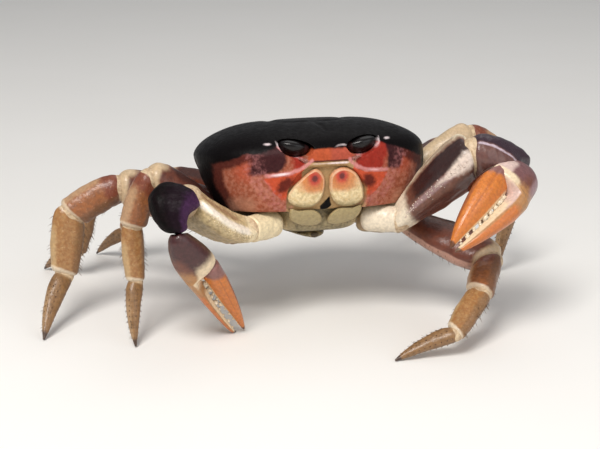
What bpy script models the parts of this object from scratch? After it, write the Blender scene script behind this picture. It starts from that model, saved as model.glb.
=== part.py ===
"""A life-size black land crab standing on the floor, one closed solid for each named part.

Sizes are millimetres in this file and metres in the scene. The crab faces -Y and its left side is +X.
The body is shaped in a frame of its own, centred in the body, and is then pitched nose up. The limbs are
given in the standing frame: each is a chain of straight parts with a length, a bearing and a slope.
"""
import math
from dataclasses import dataclass

import bmesh
import bpy
from mathutils import Matrix, Vector

CRAB = "land_crab"                          # the empty that every part hangs from
MM = 0.001
GAP = 0.3                                   # clear space kept between neighbouring parts

# The crab is shaped about its own body and then moved so that the frame's origin is the middle of the
# underside of its bounding box.
FRAME_SHIFT = Vector((5.3631, -2.7479, 0.0))

# ---- the body ------------------------------------------------------------------------------------
BODY_CENTRE = Vector((0.0, 0.0, 47.0))      # the middle of the body above the floor
PITCH = 9.0                                 # degrees that the front is raised
HALF_WIDTH = 38.6                           # the carapace is twice this across
SHELL_MIDDLE = Vector((0.0, -2.0, 8.0))     # the widest level of the shell, in the body frame
FRONT_LENGTH = 27.5                         # from that middle to the front edge
REAR_LENGTH = 32.0                          # and to the rear edge
DOME = 10.6                                 # height of the back above the widest level
KEEL = 29.0                                 # depth that the side walls would close in below it
BELLY = -18.8                               # level of the flat sternum
FRONT_POWER, REAR_POWER = 2.6, 2.2          # how square the plan is before and behind the middle
DOME_POWER = 2.5                            # how square the back is from side to side
SHELL_EDGE = 38.8                           # level of the shell's lower edge above the floor, at its middle
EDGE_RISE = 0.09                            # how steeply that edge rises towards the front
REAR_DROP = 5.0                             # how far the back slopes down to its rear edge
SHELL_GRID = 13                             # facets along each edge of the shell's cube net

# ---- the face, in the body frame -----------------------------------------------------------------
EYE_MIDDLE = Vector((10.6, -25.1, 10.7))
EYE_RADII = Vector((5.3, 3.1, 3.5))         # along the eye stalk, fore and aft, up and down
EYE_TILT = 12.0                             # degrees that the outer end is raised
FRONT_LIP = (7.6, 6.7, 12.0)                # half-width, lowest and highest level of the turned-down front
MOUTH_DEPTH = 3.6
# level, inner edge and outer edge of one outer mouth plate
MOUTH_STATIONS = ((4.4, 4.4, 8.4), (3.4, 1.7, 10.8), (0.6, 0.7, 12.9), (-3.8, 0.7, 12.7),
                  (-7.4, 1.5, 10.0), (-9.4, 1.9, 9.6), (-11.4, 1.5, 9.0), (-13.4, 1.0, 8.0))

# ---- material slots: colour, roughness -----------------------------------------------------------
FINISHES = {
    "shell_black": ((0.014, 0.008, 0.009), 0.28),
    "shell_cream": ((0.42, 0.33, 0.22), 0.50),
    "mouth_plate": ((0.60, 0.36, 0.20), 0.42),
    "eye_black": ((0.006, 0.005, 0.006), 0.08),
    "arm_purple": ((0.080, 0.032, 0.030), 0.36),
    "claw_orange": ((0.58, 0.22, 0.050), 0.36),
    "leg_brown": ((0.24, 0.090, 0.036), 0.42),
    "leg_tan": ((0.42, 0.24, 0.11), 0.44),
}


# ---- walking legs: lengths in millimetres, then the pose --------------------------------------------
LEG_LENGTHS = {2: (35.0, 16.5, 18.5, 21.0), 3: (41.0, 18.0, 21.0, 24.5),
               4: (39.0, 18.0, 19.5, 20.5), 5: (33.0, 15.5, 18.0, 18.5)}
LEG_ROOTS = {2: (16.0, -8.6, 32.0), 3: (16.0, 0.0, 32.2), 4: (15.6, 8.6, 32.2), 5: (13.0, 15.8, 32.4)}
LEG_BASES = {2: (30.5, -12.3, 31.2), 3: (26.5, 0.0, 32.6), 4: (25.0, 11.0, 33.0), 5: (19.0, 21.0, 33.6)}
LEG_BENDS = {
    ("left", 2): ((46, -14), (122, -24), (138, -28), (178, 0)),
    ("left", 3): ((-10, 33), (-17, -36), (-27, -72), (-166, 0)),
    ("left", 4): ((-25, 18), (-27, -21), (-39, -74), (-53, 0)),
    ("left", 5): ((-46, 15), (-42, -34), (-51, -71), (-59, 0)),
    ("right", 2): ((15, 38), (2, -69), (95, -83), (80, 0)),
    ("right", 3): ((0, 18), (3, -26), (30, -80), (62, 0)),
    ("right", 4): ((-29, 5), (-32, -22), (-38, -74), (-48, 0)),
    ("right", 5): ((-43, 2), (-42, -27), (-51, -67), (-45, 0)),
}
# share of the length, half-height in the plane of the leg, half-thickness across it
LEG_SHAPES = {
    "merus": ((0.0, 4.1, 3.6), (0.22, 4.7, 3.9), (0.5, 7.2, 4.6), (0.8, 7.2, 4.6), (0.94, 6.0, 4.2),
              (1.0, 4.6, 3.5)),
    "carpus": ((0.0, 3.6, 3.0), (0.15, 4.4, 3.7), (0.55, 4.9, 4.0), (0.88, 4.6, 3.7), (1.0, 3.7, 3.0)),
    "propodus": ((0.0, 3.5, 2.8), (0.15, 4.1, 3.3), (0.6, 4.1, 3.2), (0.9, 3.6, 2.8), (1.0, 2.9, 2.4)),
    "dactyl": ((0.0, 2.7, 2.3), (0.15, 3.1, 2.6), (0.5, 2.4, 2.1), (0.8, 1.4, 1.3), (1.0, 0.5, 0.5)),
}
LEG_SIZES = {2: 1.0, 3: 1.0, 4: 0.95, 5: 0.82}
LEG_FINISH = {"merus": "leg_brown", "carpus": "leg_brown", "propodus": "leg_tan", "dactyl": "leg_tan"}
LEG_SIDES = 8
LEG_SQUARE = 2.3                            # how square a leg's section is
ROOT_SHARE = 0.94                           # how thick a limb's root is, beside its base
TIP_HEIGHT = 0.35                           # height of the middle of a leg's blunt tip

# ---- claw arms -----------------------------------------------------------------------------------
# share of the length, half-height, half-thickness
ARM_SHAPES = {
    "merus": ((0.0, 4.2, 4.2), (0.2, 5.2, 4.7), (0.55, 7.6, 5.6), (0.85, 8.3, 5.9), (1.0, 6.4, 4.8)),
    "carpus": ((0.0, 5.6, 4.6), (0.25, 7.4, 6.2), (0.65, 7.6, 6.6), (0.9, 5.2, 5.0), (1.0, 3.2, 3.2)),
}
ARM_SIDES = 12
ARM_EDGE = 0.13                             # how far an arm's three edges stand out, as a share
# share along the hand, movable finger's edge, fixed finger's edge, half-thickness
PALM_STATIONS = ((0.0, -3.0, 3.2, 3.0), (0.06, -4.8, 6.0, 4.6), (0.16, -7.4, 8.5, 5.8),
                 (0.28, -8.6, 9.0, 6.0), (0.38, -8.3, 9.0, 5.4))
# share along the hand, inner edge, outer edge, half-thickness
FINGER_STATIONS = ((0.4, 0.6, 8.8, 4.7), (0.54, 0.4, 8.4, 4.2), (0.68, 0.5, 7.0, 3.4), (0.84, 0.5, 4.8, 2.4),
                   (0.95, 0.4, 2.5, 1.2), (1.0, 0.3, 1.2, 0.4))
FINGER_SETBACK = 0.065                      # how far beyond the palm's end the movable finger starts
HAND_SIDES = 14


@dataclass(frozen=True)
class Arm:
    """The pose of one claw arm: parts as (length, bearing, slope) in millimetres and degrees."""
    side: int                 # +1 on the crab's left, -1 on its right
    merus: tuple
    carpus: tuple
    palm: tuple
    fingers: tuple
    edge: tuple               # bearing and slope of the way from the movable finger to the fixed one
    roll: float               # turn of the merus and carpus about their own length
    stout: float              # thickness of the merus and carpus, as a share of the left arm's
    size: float               # size of the hand's section, as a share of the left hand's
    gape: float               # how far the tips stand apart


ARM_ROOT = (15.7, -18.4, 35.2)              # where an arm meets the sternum
ARM_BASE = (25.4, -25.0, 35.6)              # where its merus begins
ARMS = {
    "left": Arm(1, (33.4, 22.6, 44.2), (19.5, -3, -24), (18.7, 126, 5), (28.6, 158, -40), (23, -34),
                0.0, 1.0, 1.0, 0.6),
    "right": Arm(-1, (26.2, 17.2, 29.2), (13.0, 66, -34), (19.0, -145, -60), (31.0, -141, -54), (-4, -29),
                 70.0, 0.95, 0.8, 3.2),
}

# ---- build helpers -------------------------------------------------------------------------------


def clear_scene():
    """Remove whatever the scene holds, and leave one empty to carry the crab."""
    for item in list(bpy.data.objects):
        bpy.data.objects.remove(item, do_unlink=True)
    bpy.context.scene.collection.objects.link(bpy.data.objects.new(CRAB, None))


def finish_for(slot):
    """The Principled material of one slot, made once."""
    material = bpy.data.materials.get(slot)
    if material is None:
        colour, roughness = FINISHES[slot]
        material = bpy.data.materials.new(slot)
        material.use_nodes = True
        shader = material.node_tree.nodes["Principled BSDF"]
        shader.inputs["Base Color"].default_value = (*colour, 1.0)
        shader.inputs["Roughness"].default_value = roughness
        shader.inputs["Metallic"].default_value = 0.0
    return material


def add_object(name, mesh_data, slot):
    """Put a bmesh, given in millimetres of the standing frame, in the scene, its origin in its own middle."""
    mesh_data.normal_update()
    bmesh.ops.recalc_face_normals(mesh_data, faces=mesh_data.faces)
    low, high = (Vector([pick(vertex.co[axis] for vertex in mesh_data.verts) for axis in range(3)])
                 for pick in (min, max))
    middle = 0.5 * (low + high)
    mesh_data.transform(Matrix.Scale(MM, 4) @ Matrix.Translation(-middle))
    mesh = bpy.data.meshes.new(name)
    mesh_data.to_mesh(mesh)
    mesh_data.free()
    mesh.shade_smooth()
    item = bpy.data.objects.new(name, mesh)
    item.location = (middle + FRAME_SHIFT) * MM
    item.parent = bpy.data.objects[CRAB]
    bpy.context.scene.collection.objects.link(item)
    item.data.materials.append(finish_for(slot))
    return item


def add_cutter(name, mesh_data):
    """A helper solid that only shapes other parts."""
    cutter = add_object(name, mesh_data, "shell_black")
    cutter.hide_render = True
    cutter.display_type = "WIRE"
    return cutter


def use_cutter(item, cutter, operation="DIFFERENCE"):
    """Cut a part with a helper solid, or join the helper to it."""
    modifier = item.modifiers.new(cutter.name, "BOOLEAN")
    modifier.operation = operation
    modifier.solver = "EXACT"
    modifier.object = cutter


def tube(rings):
    """A closed bmesh through rings of points, with a flat cap at each end."""
    mesh_data = bmesh.new()
    loops = [[mesh_data.verts.new(point) for point in ring] for ring in rings]
    count = len(loops[0])
    for low, high in zip(loops, loops[1:]):
        for i in range(count):
            j = (i + 1) % count
            mesh_data.faces.new((low[i], low[j], high[j], high[i]))
    mesh_data.faces.new(loops[0][::-1])
    mesh_data.faces.new(loops[-1])
    return mesh_data


def body_frame():
    """The matrix from the body frame to the standing frame."""
    return Matrix.Translation(BODY_CENTRE) @ Matrix.Rotation(math.radians(-PITCH), 4, "X")


# ---- the body's surface --------------------------------------------------------------------------


def smooth_step(low, high, value):
    """0 below low, 1 above high, smooth between."""
    share = min(1.0, max(0.0, (value - low) / (high - low)))
    return share * share * (3.0 - 2.0 * share)


def wall_power(ahead):
    """How full the side wall is: tucked in above the legs and full beside the mouth."""
    return 1.3 + 1.4 * smooth_step(0.02, 0.35, ahead) - 0.2 * smooth_step(0.5, 1.0, ahead)


def shell_point(direction):
    """The body's outer surface in the body frame, for a unit direction from the shell's middle."""
    flat = math.hypot(direction.x, direction.y)
    across, along = (direction.x / flat, direction.y / flat) if flat > 1e-6 else (1.0, 0.0)
    power = FRONT_POWER if along < 0.0 else REAR_POWER
    length = FRONT_LENGTH if along < 0.0 else REAR_LENGTH
    reach = ((abs(across) / HALF_WIDTH) ** power + (abs(along) / length) ** power) ** (-1.0 / power)
    if direction.z >= 0.0:
        spread = flat ** (2.0 / DOME_POWER)
        rise = DOME * direction.z
    else:
        wall = wall_power(-along)
        spread = flat ** (2.0 / wall)
        rise = -KEEL * abs(direction.z) ** (2.0 / wall)
    point = SHELL_MIDDLE + Vector((across * reach * spread, along * reach * spread, rise))
    point.z -= REAR_DROP * smooth_step(4.0, 30.0, point.y) * smooth_step(-8.0, 14.0, point.z)
    point.z = max(point.z, BELLY)
    return point


def front_wall(x, level):
    """How far ahead the body's front surface is at a place on the face, in the body frame."""
    rise = level - SHELL_MIDDLE.z
    if rise >= 0.0:
        spread = (1.0 - (rise / DOME) ** 2) ** (1.0 / DOME_POWER)
    else:
        spread = (1.0 - (-rise / KEEL) ** 2.5) ** (1.0 / 2.5)
    rest = max(0.0, spread ** FRONT_POWER - (abs(x) / HALF_WIDTH) ** FRONT_POWER)
    return SHELL_MIDDLE.y - FRONT_LENGTH * rest ** (1.0 / FRONT_POWER)


def cube_net(facets):
    """A unit sphere made from a cube's net, each face cut into facets x facets squares."""
    mesh_data = bmesh.new()
    bmesh.ops.create_cube(mesh_data, size=2.0)
    bmesh.ops.subdivide_edges(mesh_data, edges=mesh_data.edges[:], cuts=facets - 1, use_grid_fill=True)
    for vertex in mesh_data.verts:
        angles = Vector([math.tan(value * math.pi / 4.0) for value in vertex.co])
        vertex.co = angles.normalized()
    return mesh_data


def ellipsoid(middle, radii, tilt, facets=5):
    """An ellipsoid in the body frame whose first axis is tilted up by some degrees at its outer end."""
    mesh_data = cube_net(facets)
    turn = Matrix.Rotation(math.radians(-tilt), 3, "Y")
    for vertex in mesh_data.verts:
        vertex.co = middle + turn @ Vector([a * b for a, b in zip(vertex.co, radii)])
    return mesh_data


def cut_level(mesh_data, level, keep_above):
    """Cut a body along the shell's lower edge, at this level in its middle, and close the cut."""
    geometry = mesh_data.verts[:] + mesh_data.edges[:] + mesh_data.faces[:]
    cut = bmesh.ops.bisect_plane(mesh_data, geom=geometry, plane_co=(0, 0, level), plane_no=(0, EDGE_RISE, 1),
                                 clear_inner=keep_above, clear_outer=not keep_above)
    rim = [edge for edge in cut["geom_cut"] if isinstance(edge, bmesh.types.BMEdge)]
    bmesh.ops.edgeloop_fill(mesh_data, edges=rim)


def mouth_ring(level, inner, outer, front, back):
    """A level ring of one mouth plate, between its outer face and its back face."""
    points = []
    steps = 5
    for i in range(steps):
        x = inner + (outer - inner) * i / (steps - 1)
        crown = front * math.sin(math.pi * (i + 0.6) / (steps + 0.2))
        points.append(Vector((x, front_wall(x, level) - crown, level)))
    points.append(Vector((outer, front_wall(outer, level) + back, level)))
    points.append(Vector((inner, front_wall(inner, level) + back, level)))
    return points


# ---- the body's parts ----------------------------------------------------------------------------


def make_carapace(orbits, mouth):
    """The back, its side walls and the face, open at the orbits and the mouth."""
    mesh_data = cube_net(SHELL_GRID)
    for vertex in mesh_data.verts:
        vertex.co = shell_point(vertex.co)
    mesh_data.transform(body_frame())
    cut_level(mesh_data, SHELL_EDGE, keep_above=True)
    carapace = add_object("carapace", mesh_data, "shell_black")
    use_cutter(carapace, make_front_lip(), "UNION")
    for cutter in (*orbits, mouth):
        use_cutter(carapace, cutter)
    return carapace


def make_front_lip():
    """The turned-down front between the eyes, a low block that joins the carapace."""
    half, low, high = FRONT_LIP
    rings = []
    for level, stretch, proud in ((low, 1.0, 1.3), (0.5 * (low + high), 0.92, 1.2), (high, 0.8, 0.5)):
        xs = [half * stretch * (i / 3.0 - 1.0) for i in range(7)]
        ahead = [Vector((x, front_wall(x, level) - proud, level)) for x in xs]
        behind = [Vector((x, front_wall(x, level) + 2.5, level + 0.4)) for x in (xs[-1], xs[0])]
        rings.append(ahead + behind)
    mesh_data = tube(rings)
    mesh_data.transform(body_frame())
    return add_cutter("front_lip_shape", mesh_data)


def make_sternum(mouth):
    """The plate under the body that carries the limbs."""
    mesh_data = cube_net(7)
    middle = Vector((0.0, -0.6, -12.0))
    halves = Vector((14.6, 20.0, 6.8))
    for vertex in mesh_data.verts:
        size = sum(abs(value) ** 5 for value in vertex.co) ** -0.2
        vertex.co = middle + Vector([a * b * size for a, b in zip(vertex.co, halves)])
    mesh_data.transform(body_frame())
    cut_level(mesh_data, SHELL_EDGE - GAP, keep_above=False)
    sternum = add_object("sternum", mesh_data, "shell_cream")
    use_cutter(sternum, mouth)


def make_abdomen():
    """The narrow tail flap, folded down behind the sternum and forward under it."""
    # place along the body, level, half-width
    stations = ((27.2, -7.4, 9.5), (25.8, -12.0, 10.0), (22.6, -17.0, 9.6), (16.5, -20.6, 8.6),
                (8.0, -21.0, 6.6), (-1.0, -21.0, 4.6), (-7.5, -20.8, 2.4))
    thickness = 1.0
    rings = []
    for i, (y, z, half) in enumerate(stations):
        before = stations[max(i - 1, 0)]
        after = stations[min(i + 1, len(stations) - 1)]
        run = Vector((0.0, after[0] - before[0], after[1] - before[1])).normalized()
        out = run.cross(Vector((1.0, 0.0, 0.0)))
        centre = Vector((0.0, y, z))
        rings.append([centre + Vector((half * math.cos(a), 0, 0)) + out * thickness * math.sin(a)
                      for a in (math.tau * (k + 0.5) / 8.0 for k in range(8))])
    mesh_data = tube(rings)
    mesh_data.transform(body_frame())
    add_object("abdomen", mesh_data, "shell_cream")


def make_mouth_recess():
    """The helper solid that opens the mouth field for both plates."""
    rings = []
    for level, _, outer in MOUTH_STATIONS:
        wide = outer + GAP
        xs = [wide * (i / 3.0 - 1.0) for i in range(7)]
        ahead = [Vector((x, front_wall(x, level) - 6.0, level)) for x in xs]
        behind = [Vector((x, front_wall(x, level) + MOUTH_DEPTH, level)) for x in reversed(xs)]
        rings.append(ahead + behind)
    for point in rings[0]:
        point.z += GAP
    for point in rings[-1]:
        point.z -= GAP
    mesh_data = tube(rings)
    mesh_data.transform(body_frame())
    return add_cutter("mouth_recess", mesh_data)


def make_face(side_name, side):
    """The mouth plate, the eye and the short antenna of one side; returns the orbit's helper solid."""
    mirror = Matrix.Diagonal((side, 1.0, 1.0, 1.0))
    place = body_frame() @ mirror
    plate = tube([mouth_ring(level, inner, outer, 1.4, MOUTH_DEPTH - GAP)
                  for level, inner, outer in MOUTH_STATIONS])
    plate.transform(place)
    add_object(f"maxilliped_{side_name}", plate, "mouth_plate")

    eye = ellipsoid(EYE_MIDDLE, EYE_RADII, EYE_TILT)
    eye.transform(place)
    add_object(f"eye_{side_name}", eye, "eye_black")
    orbit = ellipsoid(EYE_MIDDLE, EYE_RADII + Vector((0.9, 0.9, 0.9)), EYE_TILT, 6)
    orbit.transform(place)

    # place across, ahead of the face, level, thickness
    stations = ((8.9, 1.0, 7.4, 0.6), (9.4, 1.2, 7.7, 0.65), (10.6, 2.2, 8.4, 0.5), (12.0, 2.8, 9.2, 0.3))
    rings = []
    for x, ahead, level, half in stations:
        centre = Vector((x, front_wall(x, level) - ahead, level))
        rings.append([centre + Vector((0.0, half * math.cos(a), half * math.sin(a)))
                      for a in (math.tau * k / 6.0 for k in range(6))])
    antenna = tube(rings)
    antenna.transform(place)
    add_object(f"antenna_{side_name}", antenna, "leg_tan")
    return add_cutter(f"orbit_{side_name}", orbit)


# ---- limbs ---------------------------------------------------------------------------------------


def heading(side, bearing, slope):
    """The unit vector of a bearing and a slope, on one side of the crab."""
    flat = math.cos(math.radians(slope))
    return Vector((side * flat * math.cos(math.radians(bearing)),
                   -flat * math.sin(math.radians(bearing)),
                   math.sin(math.radians(slope))))


def mirrored(point, side):
    """A point of the left side, or its mirror image on the right."""
    return Vector((side * point[0], point[1], point[2]))


def oval(angle):
    """The outline of a walking leg's section, a slightly square oval."""
    return (abs(math.cos(angle)) ** LEG_SQUARE + abs(math.sin(angle)) ** LEG_SQUARE) ** (-1.0 / LEG_SQUARE)


def three_edged(angle):
    """The outline of an arm's section, a rounded triangle with one edge across the arm."""
    return 1.0 - ARM_EDGE * math.sin(3.0 * angle)


@dataclass(frozen=True)
class Span:
    """A straight stretch of limb between two end planes."""
    start: Vector
    run: Vector
    length: float
    plane_a: Vector
    plane_b: Vector
    up: Vector
    across: Vector

    def ring(self, share, half_height, half_width, sides, outline=oval):
        """One ring, with its place along the stretch shared out between the two end planes."""
        points = []
        for k in range(sides):
            angle = math.tau * (k + 0.5) / sides
            size = outline(angle)
            offset = (self.up * (half_height * size * math.cos(angle))
                      + self.across * (half_width * size * math.sin(angle)))
            first = (0.5 * GAP - offset.dot(self.plane_a)) / self.run.dot(self.plane_a)
            last = self.length - (0.5 * GAP + offset.dot(self.plane_b)) / self.run.dot(self.plane_b)
            points.append(self.start + offset + self.run * (first + (last - first) * share))
        return points


def frame_across(run, normal, roll):
    """The up and across directions of a stretch that stands in the plane with this normal, then rolled."""
    up = normal.cross(run).normalized()
    if up.z < 0.0:
        up = -up
    up = Matrix.Rotation(math.radians(roll), 3, run) @ up
    return up, run.cross(up)


def span_between(points, number, root, normal, roll=0.0):
    """The stretch between two joints, mitred to its neighbours."""
    chain = [root, *points]
    start, end = chain[number + 1], chain[number + 2]
    run = (end - start).normalized()
    before = (start - chain[number]).normalized()
    after = (chain[number + 3] - end).normalized() if number + 3 < len(chain) else run
    plane_a, plane_b = (before + run).normalized(), (run + after).normalized()
    return Span(start, run, (end - start).length, plane_a, plane_b, *frame_across(run, normal, roll))


def root_span(root, base, normal, roll=0.0):
    """The short first stretch between the sternum and a limb's long first part."""
    run = (base - root).normalized()
    return Span(root, run, (base - root).length, run, run, *frame_across(run, normal, roll))


def keep_above_floor(rings):
    """Lay whatever would reach below the floor flat on it."""
    for ring in rings:
        for point in ring:
            point.z = max(point.z, 0.0)
    return rings


def make_leg(side_name, side, number):
    """A walking leg: merus with its short base, carpus, propodus and the pointed dactyl."""
    root, base = mirrored(LEG_ROOTS[number], side), mirrored(LEG_BASES[number], side)
    size = LEG_SIZES[number]
    points = [base]
    bends = LEG_BENDS[(side_name, number)]
    for length, (bearing, slope) in zip(LEG_LENGTHS[number], bends):
        if len(points) == len(bends):
            slope = -math.degrees(math.asin((points[-1].z - TIP_HEIGHT) / length))
        points.append(points[-1] + length * heading(side, bearing, slope))
    normal = (points[1] - points[0]).cross(points[-1] - points[1]).normalized()
    for part, (kind, stations) in enumerate(LEG_SHAPES.items()):
        span = span_between(points, part, root, normal)
        rings = [span.ring(share, high * size, wide * size, LEG_SIDES) for share, high, wide in stations]
        if part == 0:
            _, high, wide = stations[0]
            first = root_span(root, base, normal)
            rings.insert(0, first.ring(0.0, ROOT_SHARE * high, ROOT_SHARE * wide, LEG_SIDES))
        add_object(f"leg{number}_{side_name}_{kind}", tube(keep_above_floor(rings)), LEG_FINISH[kind])


def make_arm(side_name, arm):
    """A claw arm: merus, carpus, and the hand with its fixed finger and its movable finger."""
    root, base = mirrored(ARM_ROOT, arm.side), mirrored(ARM_BASE, arm.side)
    roll = arm.side * arm.roll
    points = [base]
    for length, bearing, slope in (arm.merus, arm.carpus, arm.palm):
        points.append(points[-1] + length * heading(arm.side, bearing, slope))
    normal = arm.side * (points[1] - points[0]).cross(Vector((0.0, 0.0, 1.0))).normalized()
    for part, (kind, stations) in enumerate(ARM_SHAPES.items()):
        span = span_between(points, part, root, normal, roll)
        rings = [span.ring(share, high * arm.stout, wide * arm.stout, ARM_SIDES, three_edged)
                 for share, high, wide in stations]
        if part == 0:
            _, high, wide = stations[0]
            first = root_span(root, base, normal, roll)
            rings.insert(0, first.ring(0.0, ROOT_SHARE * high, ROOT_SHARE * wide, ARM_SIDES, three_edged))
        add_object(f"arm_{side_name}_{kind}", tube(rings), "arm_purple")
    make_hand(side_name, arm, points[1], points[2])


def bow(start, middle, end, share):
    """A point and the direction of travel on the smooth curve from start to end, pulled towards middle."""
    rest = 1.0 - share
    point = start * rest * rest + middle * (2.0 * share * rest) + end * (share * share)
    travel = (middle - start) * rest + (end - middle) * share
    return point, travel.normalized()


def make_hand(side_name, arm, elbow, wrist):
    """The palm with its fixed finger, and the movable finger beside it, along one bowed centre line."""
    knuckle = wrist + arm.palm[0] * heading(arm.side, *arm.palm[1:])
    tip = knuckle + arm.fingers[0] * heading(arm.side, *arm.fingers[1:])
    edge = heading(arm.side, *arm.edge)
    joint = ((wrist - elbow).normalized() + (knuckle - wrist).normalized()).normalized()

    def hand_ring(share, low, high, half_width):
        """A ring of the hand between two edges, kept clear of the wrist's end plane."""
        point, travel = bow(wrist, knuckle, tip, share)
        down = (edge - travel * edge.dot(travel)).normalized()
        side_way = travel.cross(down)
        ring = []
        for k in range(HAND_SIDES):
            angle = math.tau * (k + 0.5) / HAND_SIDES
            reach = 0.5 * (low + high) + 0.5 * (high - low) * math.cos(angle)
            place = point + arm.size * (down * reach + side_way * (half_width * math.sin(angle)))
            short = 0.5 * GAP - (place - wrist).dot(joint)
            if share == 0.0 or short > 0.0:
                place = place + travel * (short / travel.dot(joint))
            ring.append(place)
        return ring

    palm = [hand_ring(*station) for station in PALM_STATIONS + FINGER_STATIONS]
    add_object(f"claw_{side_name}_palm", tube(keep_above_floor(palm)), "arm_purple")
    moving = []
    for share, low, high, wide in FINGER_STATIONS:
        grow = (share - FINGER_STATIONS[0][0]) / (1.0 - FINGER_STATIONS[0][0])
        clear = arm.gape * grow
        moving.append(hand_ring(share + FINGER_SETBACK * (1.0 - grow), -high - clear, -low - clear, wide))
    add_object(f"claw_{side_name}_finger", tube(keep_above_floor(moving)), "claw_orange")


def build():
    """Make every part."""
    clear_scene()
    mouth = make_mouth_recess()
    orbits = [make_face("left", 1), make_face("right", -1)]
    make_carapace(orbits, mouth)
    make_sternum(mouth)
    make_abdomen()
    for side_name, side in (("left", 1), ("right", -1)):
        make_arm(side_name, ARMS[side_name])
        for number in LEG_LENGTHS:
            make_leg(side_name, side, number)


build()
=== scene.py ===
"""A still, life-size black land crab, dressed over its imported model.

Lengths are in millimetres until a piece's mesh is made, which is in metres. The body is shaped in a frame of its own,
with x across, y to the rear and z up from the middle of the body. It is pitched nose up and stood at its place. Limbs
are shaped in the standing frame, whose origin is on the floor under the middle of the body.
"""

import logging
import math
from dataclasses import dataclass
from enum import Enum
from typing import Callable, Sequence

import bpy
import numpy as np
from mathutils import Matrix, Vector


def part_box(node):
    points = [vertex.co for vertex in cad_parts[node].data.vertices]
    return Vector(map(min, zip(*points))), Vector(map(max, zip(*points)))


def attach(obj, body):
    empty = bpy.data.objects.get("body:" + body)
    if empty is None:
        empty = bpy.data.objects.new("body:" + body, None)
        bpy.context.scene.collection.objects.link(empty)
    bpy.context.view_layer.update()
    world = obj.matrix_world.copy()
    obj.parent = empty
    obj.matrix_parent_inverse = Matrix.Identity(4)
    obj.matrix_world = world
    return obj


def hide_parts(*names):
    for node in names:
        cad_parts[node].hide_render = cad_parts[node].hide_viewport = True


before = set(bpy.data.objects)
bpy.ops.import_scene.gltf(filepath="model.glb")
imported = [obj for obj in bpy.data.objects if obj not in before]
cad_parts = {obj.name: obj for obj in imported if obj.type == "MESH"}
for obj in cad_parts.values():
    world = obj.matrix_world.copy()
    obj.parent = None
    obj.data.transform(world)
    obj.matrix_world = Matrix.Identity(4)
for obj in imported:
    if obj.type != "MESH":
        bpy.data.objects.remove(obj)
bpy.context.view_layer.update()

LOG = logging.getLogger("land_crab")
MM = 0.001

Array = np.ndarray
Colour = tuple[float, float, float]
Station = tuple[float, ...]

SIDES = {"left": 1, "right": -1}


# ---- numbers -------------------------------------------------------------------------------------


def smooth(low: float | Array, high: float | Array, value: float | Array) -> Array:
    """A smooth step from 0 at low to 1 at high; high may be the smaller of the two.

    Args:
        low: Where the step begins.
        high: Where it ends.
        value: What is measured.

    Returns:
        The step's height at each value.
    """
    share = np.clip((value - low) / (high - low), 0.0, 1.0)
    return share * share * (3.0 - 2.0 * share)


def hill(value: float | Array, half: float) -> Array:
    """A soft hill of height 1 at value 0, about twice half wide."""
    return np.exp(-((value / half) ** 2))


def unit(vectors: Array) -> Array:
    """Vectors of length 1 along the last axis."""
    return vectors / np.maximum(np.linalg.norm(vectors, axis=-1, keepdims=True), 1e-12)


def angles_round(count: int) -> Array:
    """This many angles, evenly round a section."""
    return np.linspace(0.0, math.tau, count, endpoint=False)


def curve_through(stations: Sequence[Station], share: Array) -> list[Array]:
    """Read a table at any share of its first column, along smooth curves that don't overshoot its rows.

    Args:
        stations: Rows of (place, value, value, ...), in the order of their places.
        share: The places to read it at.

    Returns:
        One array for each value column.
    """
    table = np.array(stations, float)
    places = table[:, 0]
    steps = np.diff(places)
    found = []
    for values in table[:, 1:].T:
        slopes = np.diff(values) / steps
        tangents = np.zeros_like(values)
        tangents[0], tangents[-1] = slopes[0], slopes[-1]
        for i in range(1, len(values) - 1):
            if slopes[i - 1] * slopes[i] > 0.0:
                tangents[i] = 2.0 * slopes[i - 1] * slopes[i] / (slopes[i - 1] + slopes[i])
        index = np.clip(np.searchsorted(places, share, side="right") - 1, 0, len(steps) - 1)
        t = np.clip((share - places[index]) / steps[index], 0.0, 1.0)
        start, end = values[index], values[index + 1]
        lean_a, lean_b = tangents[index] * steps[index], tangents[index + 1] * steps[index]
        found.append(start * (1 + 2 * t) * (1 - t) ** 2 + lean_a * t * (1 - t) ** 2
                     + end * t * t * (3 - 2 * t) + lean_b * t * t * (t - 1))
    return found


def far_from_path(across: Array, level: Array, path: Sequence[tuple[float, float]]) -> Array:
    """The distance of each place on the face from a line drawn through a few points.

    Args:
        across: Places across the face.
        level: Their levels.
        path: The line's corners as (across, level).

    Returns:
        The distances.
    """
    nearest = np.full(np.shape(across), 1e9)
    for (xa, za), (xb, zb) in zip(path, path[1:]):
        run_x, run_z = xb - xa, zb - za
        along = np.clip(((across - xa) * run_x + (level - za) * run_z) / (run_x ** 2 + run_z ** 2), 0.0, 1.0)
        nearest = np.minimum(nearest, np.hypot(across - xa - along * run_x, level - za - along * run_z))
    return nearest


def srgb(red: int, green: int, blue: int) -> Colour:
    """The linear colour of three screen values from 0 to 255."""
    shares = [value / 255.0 for value in (red, green, blue)]
    return tuple(s / 12.92 if s <= 0.04045 else ((s + 0.055) / 1.055) ** 2.4 for s in shares)


# ---- shapes --------------------------------------------------------------------------------------


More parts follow.
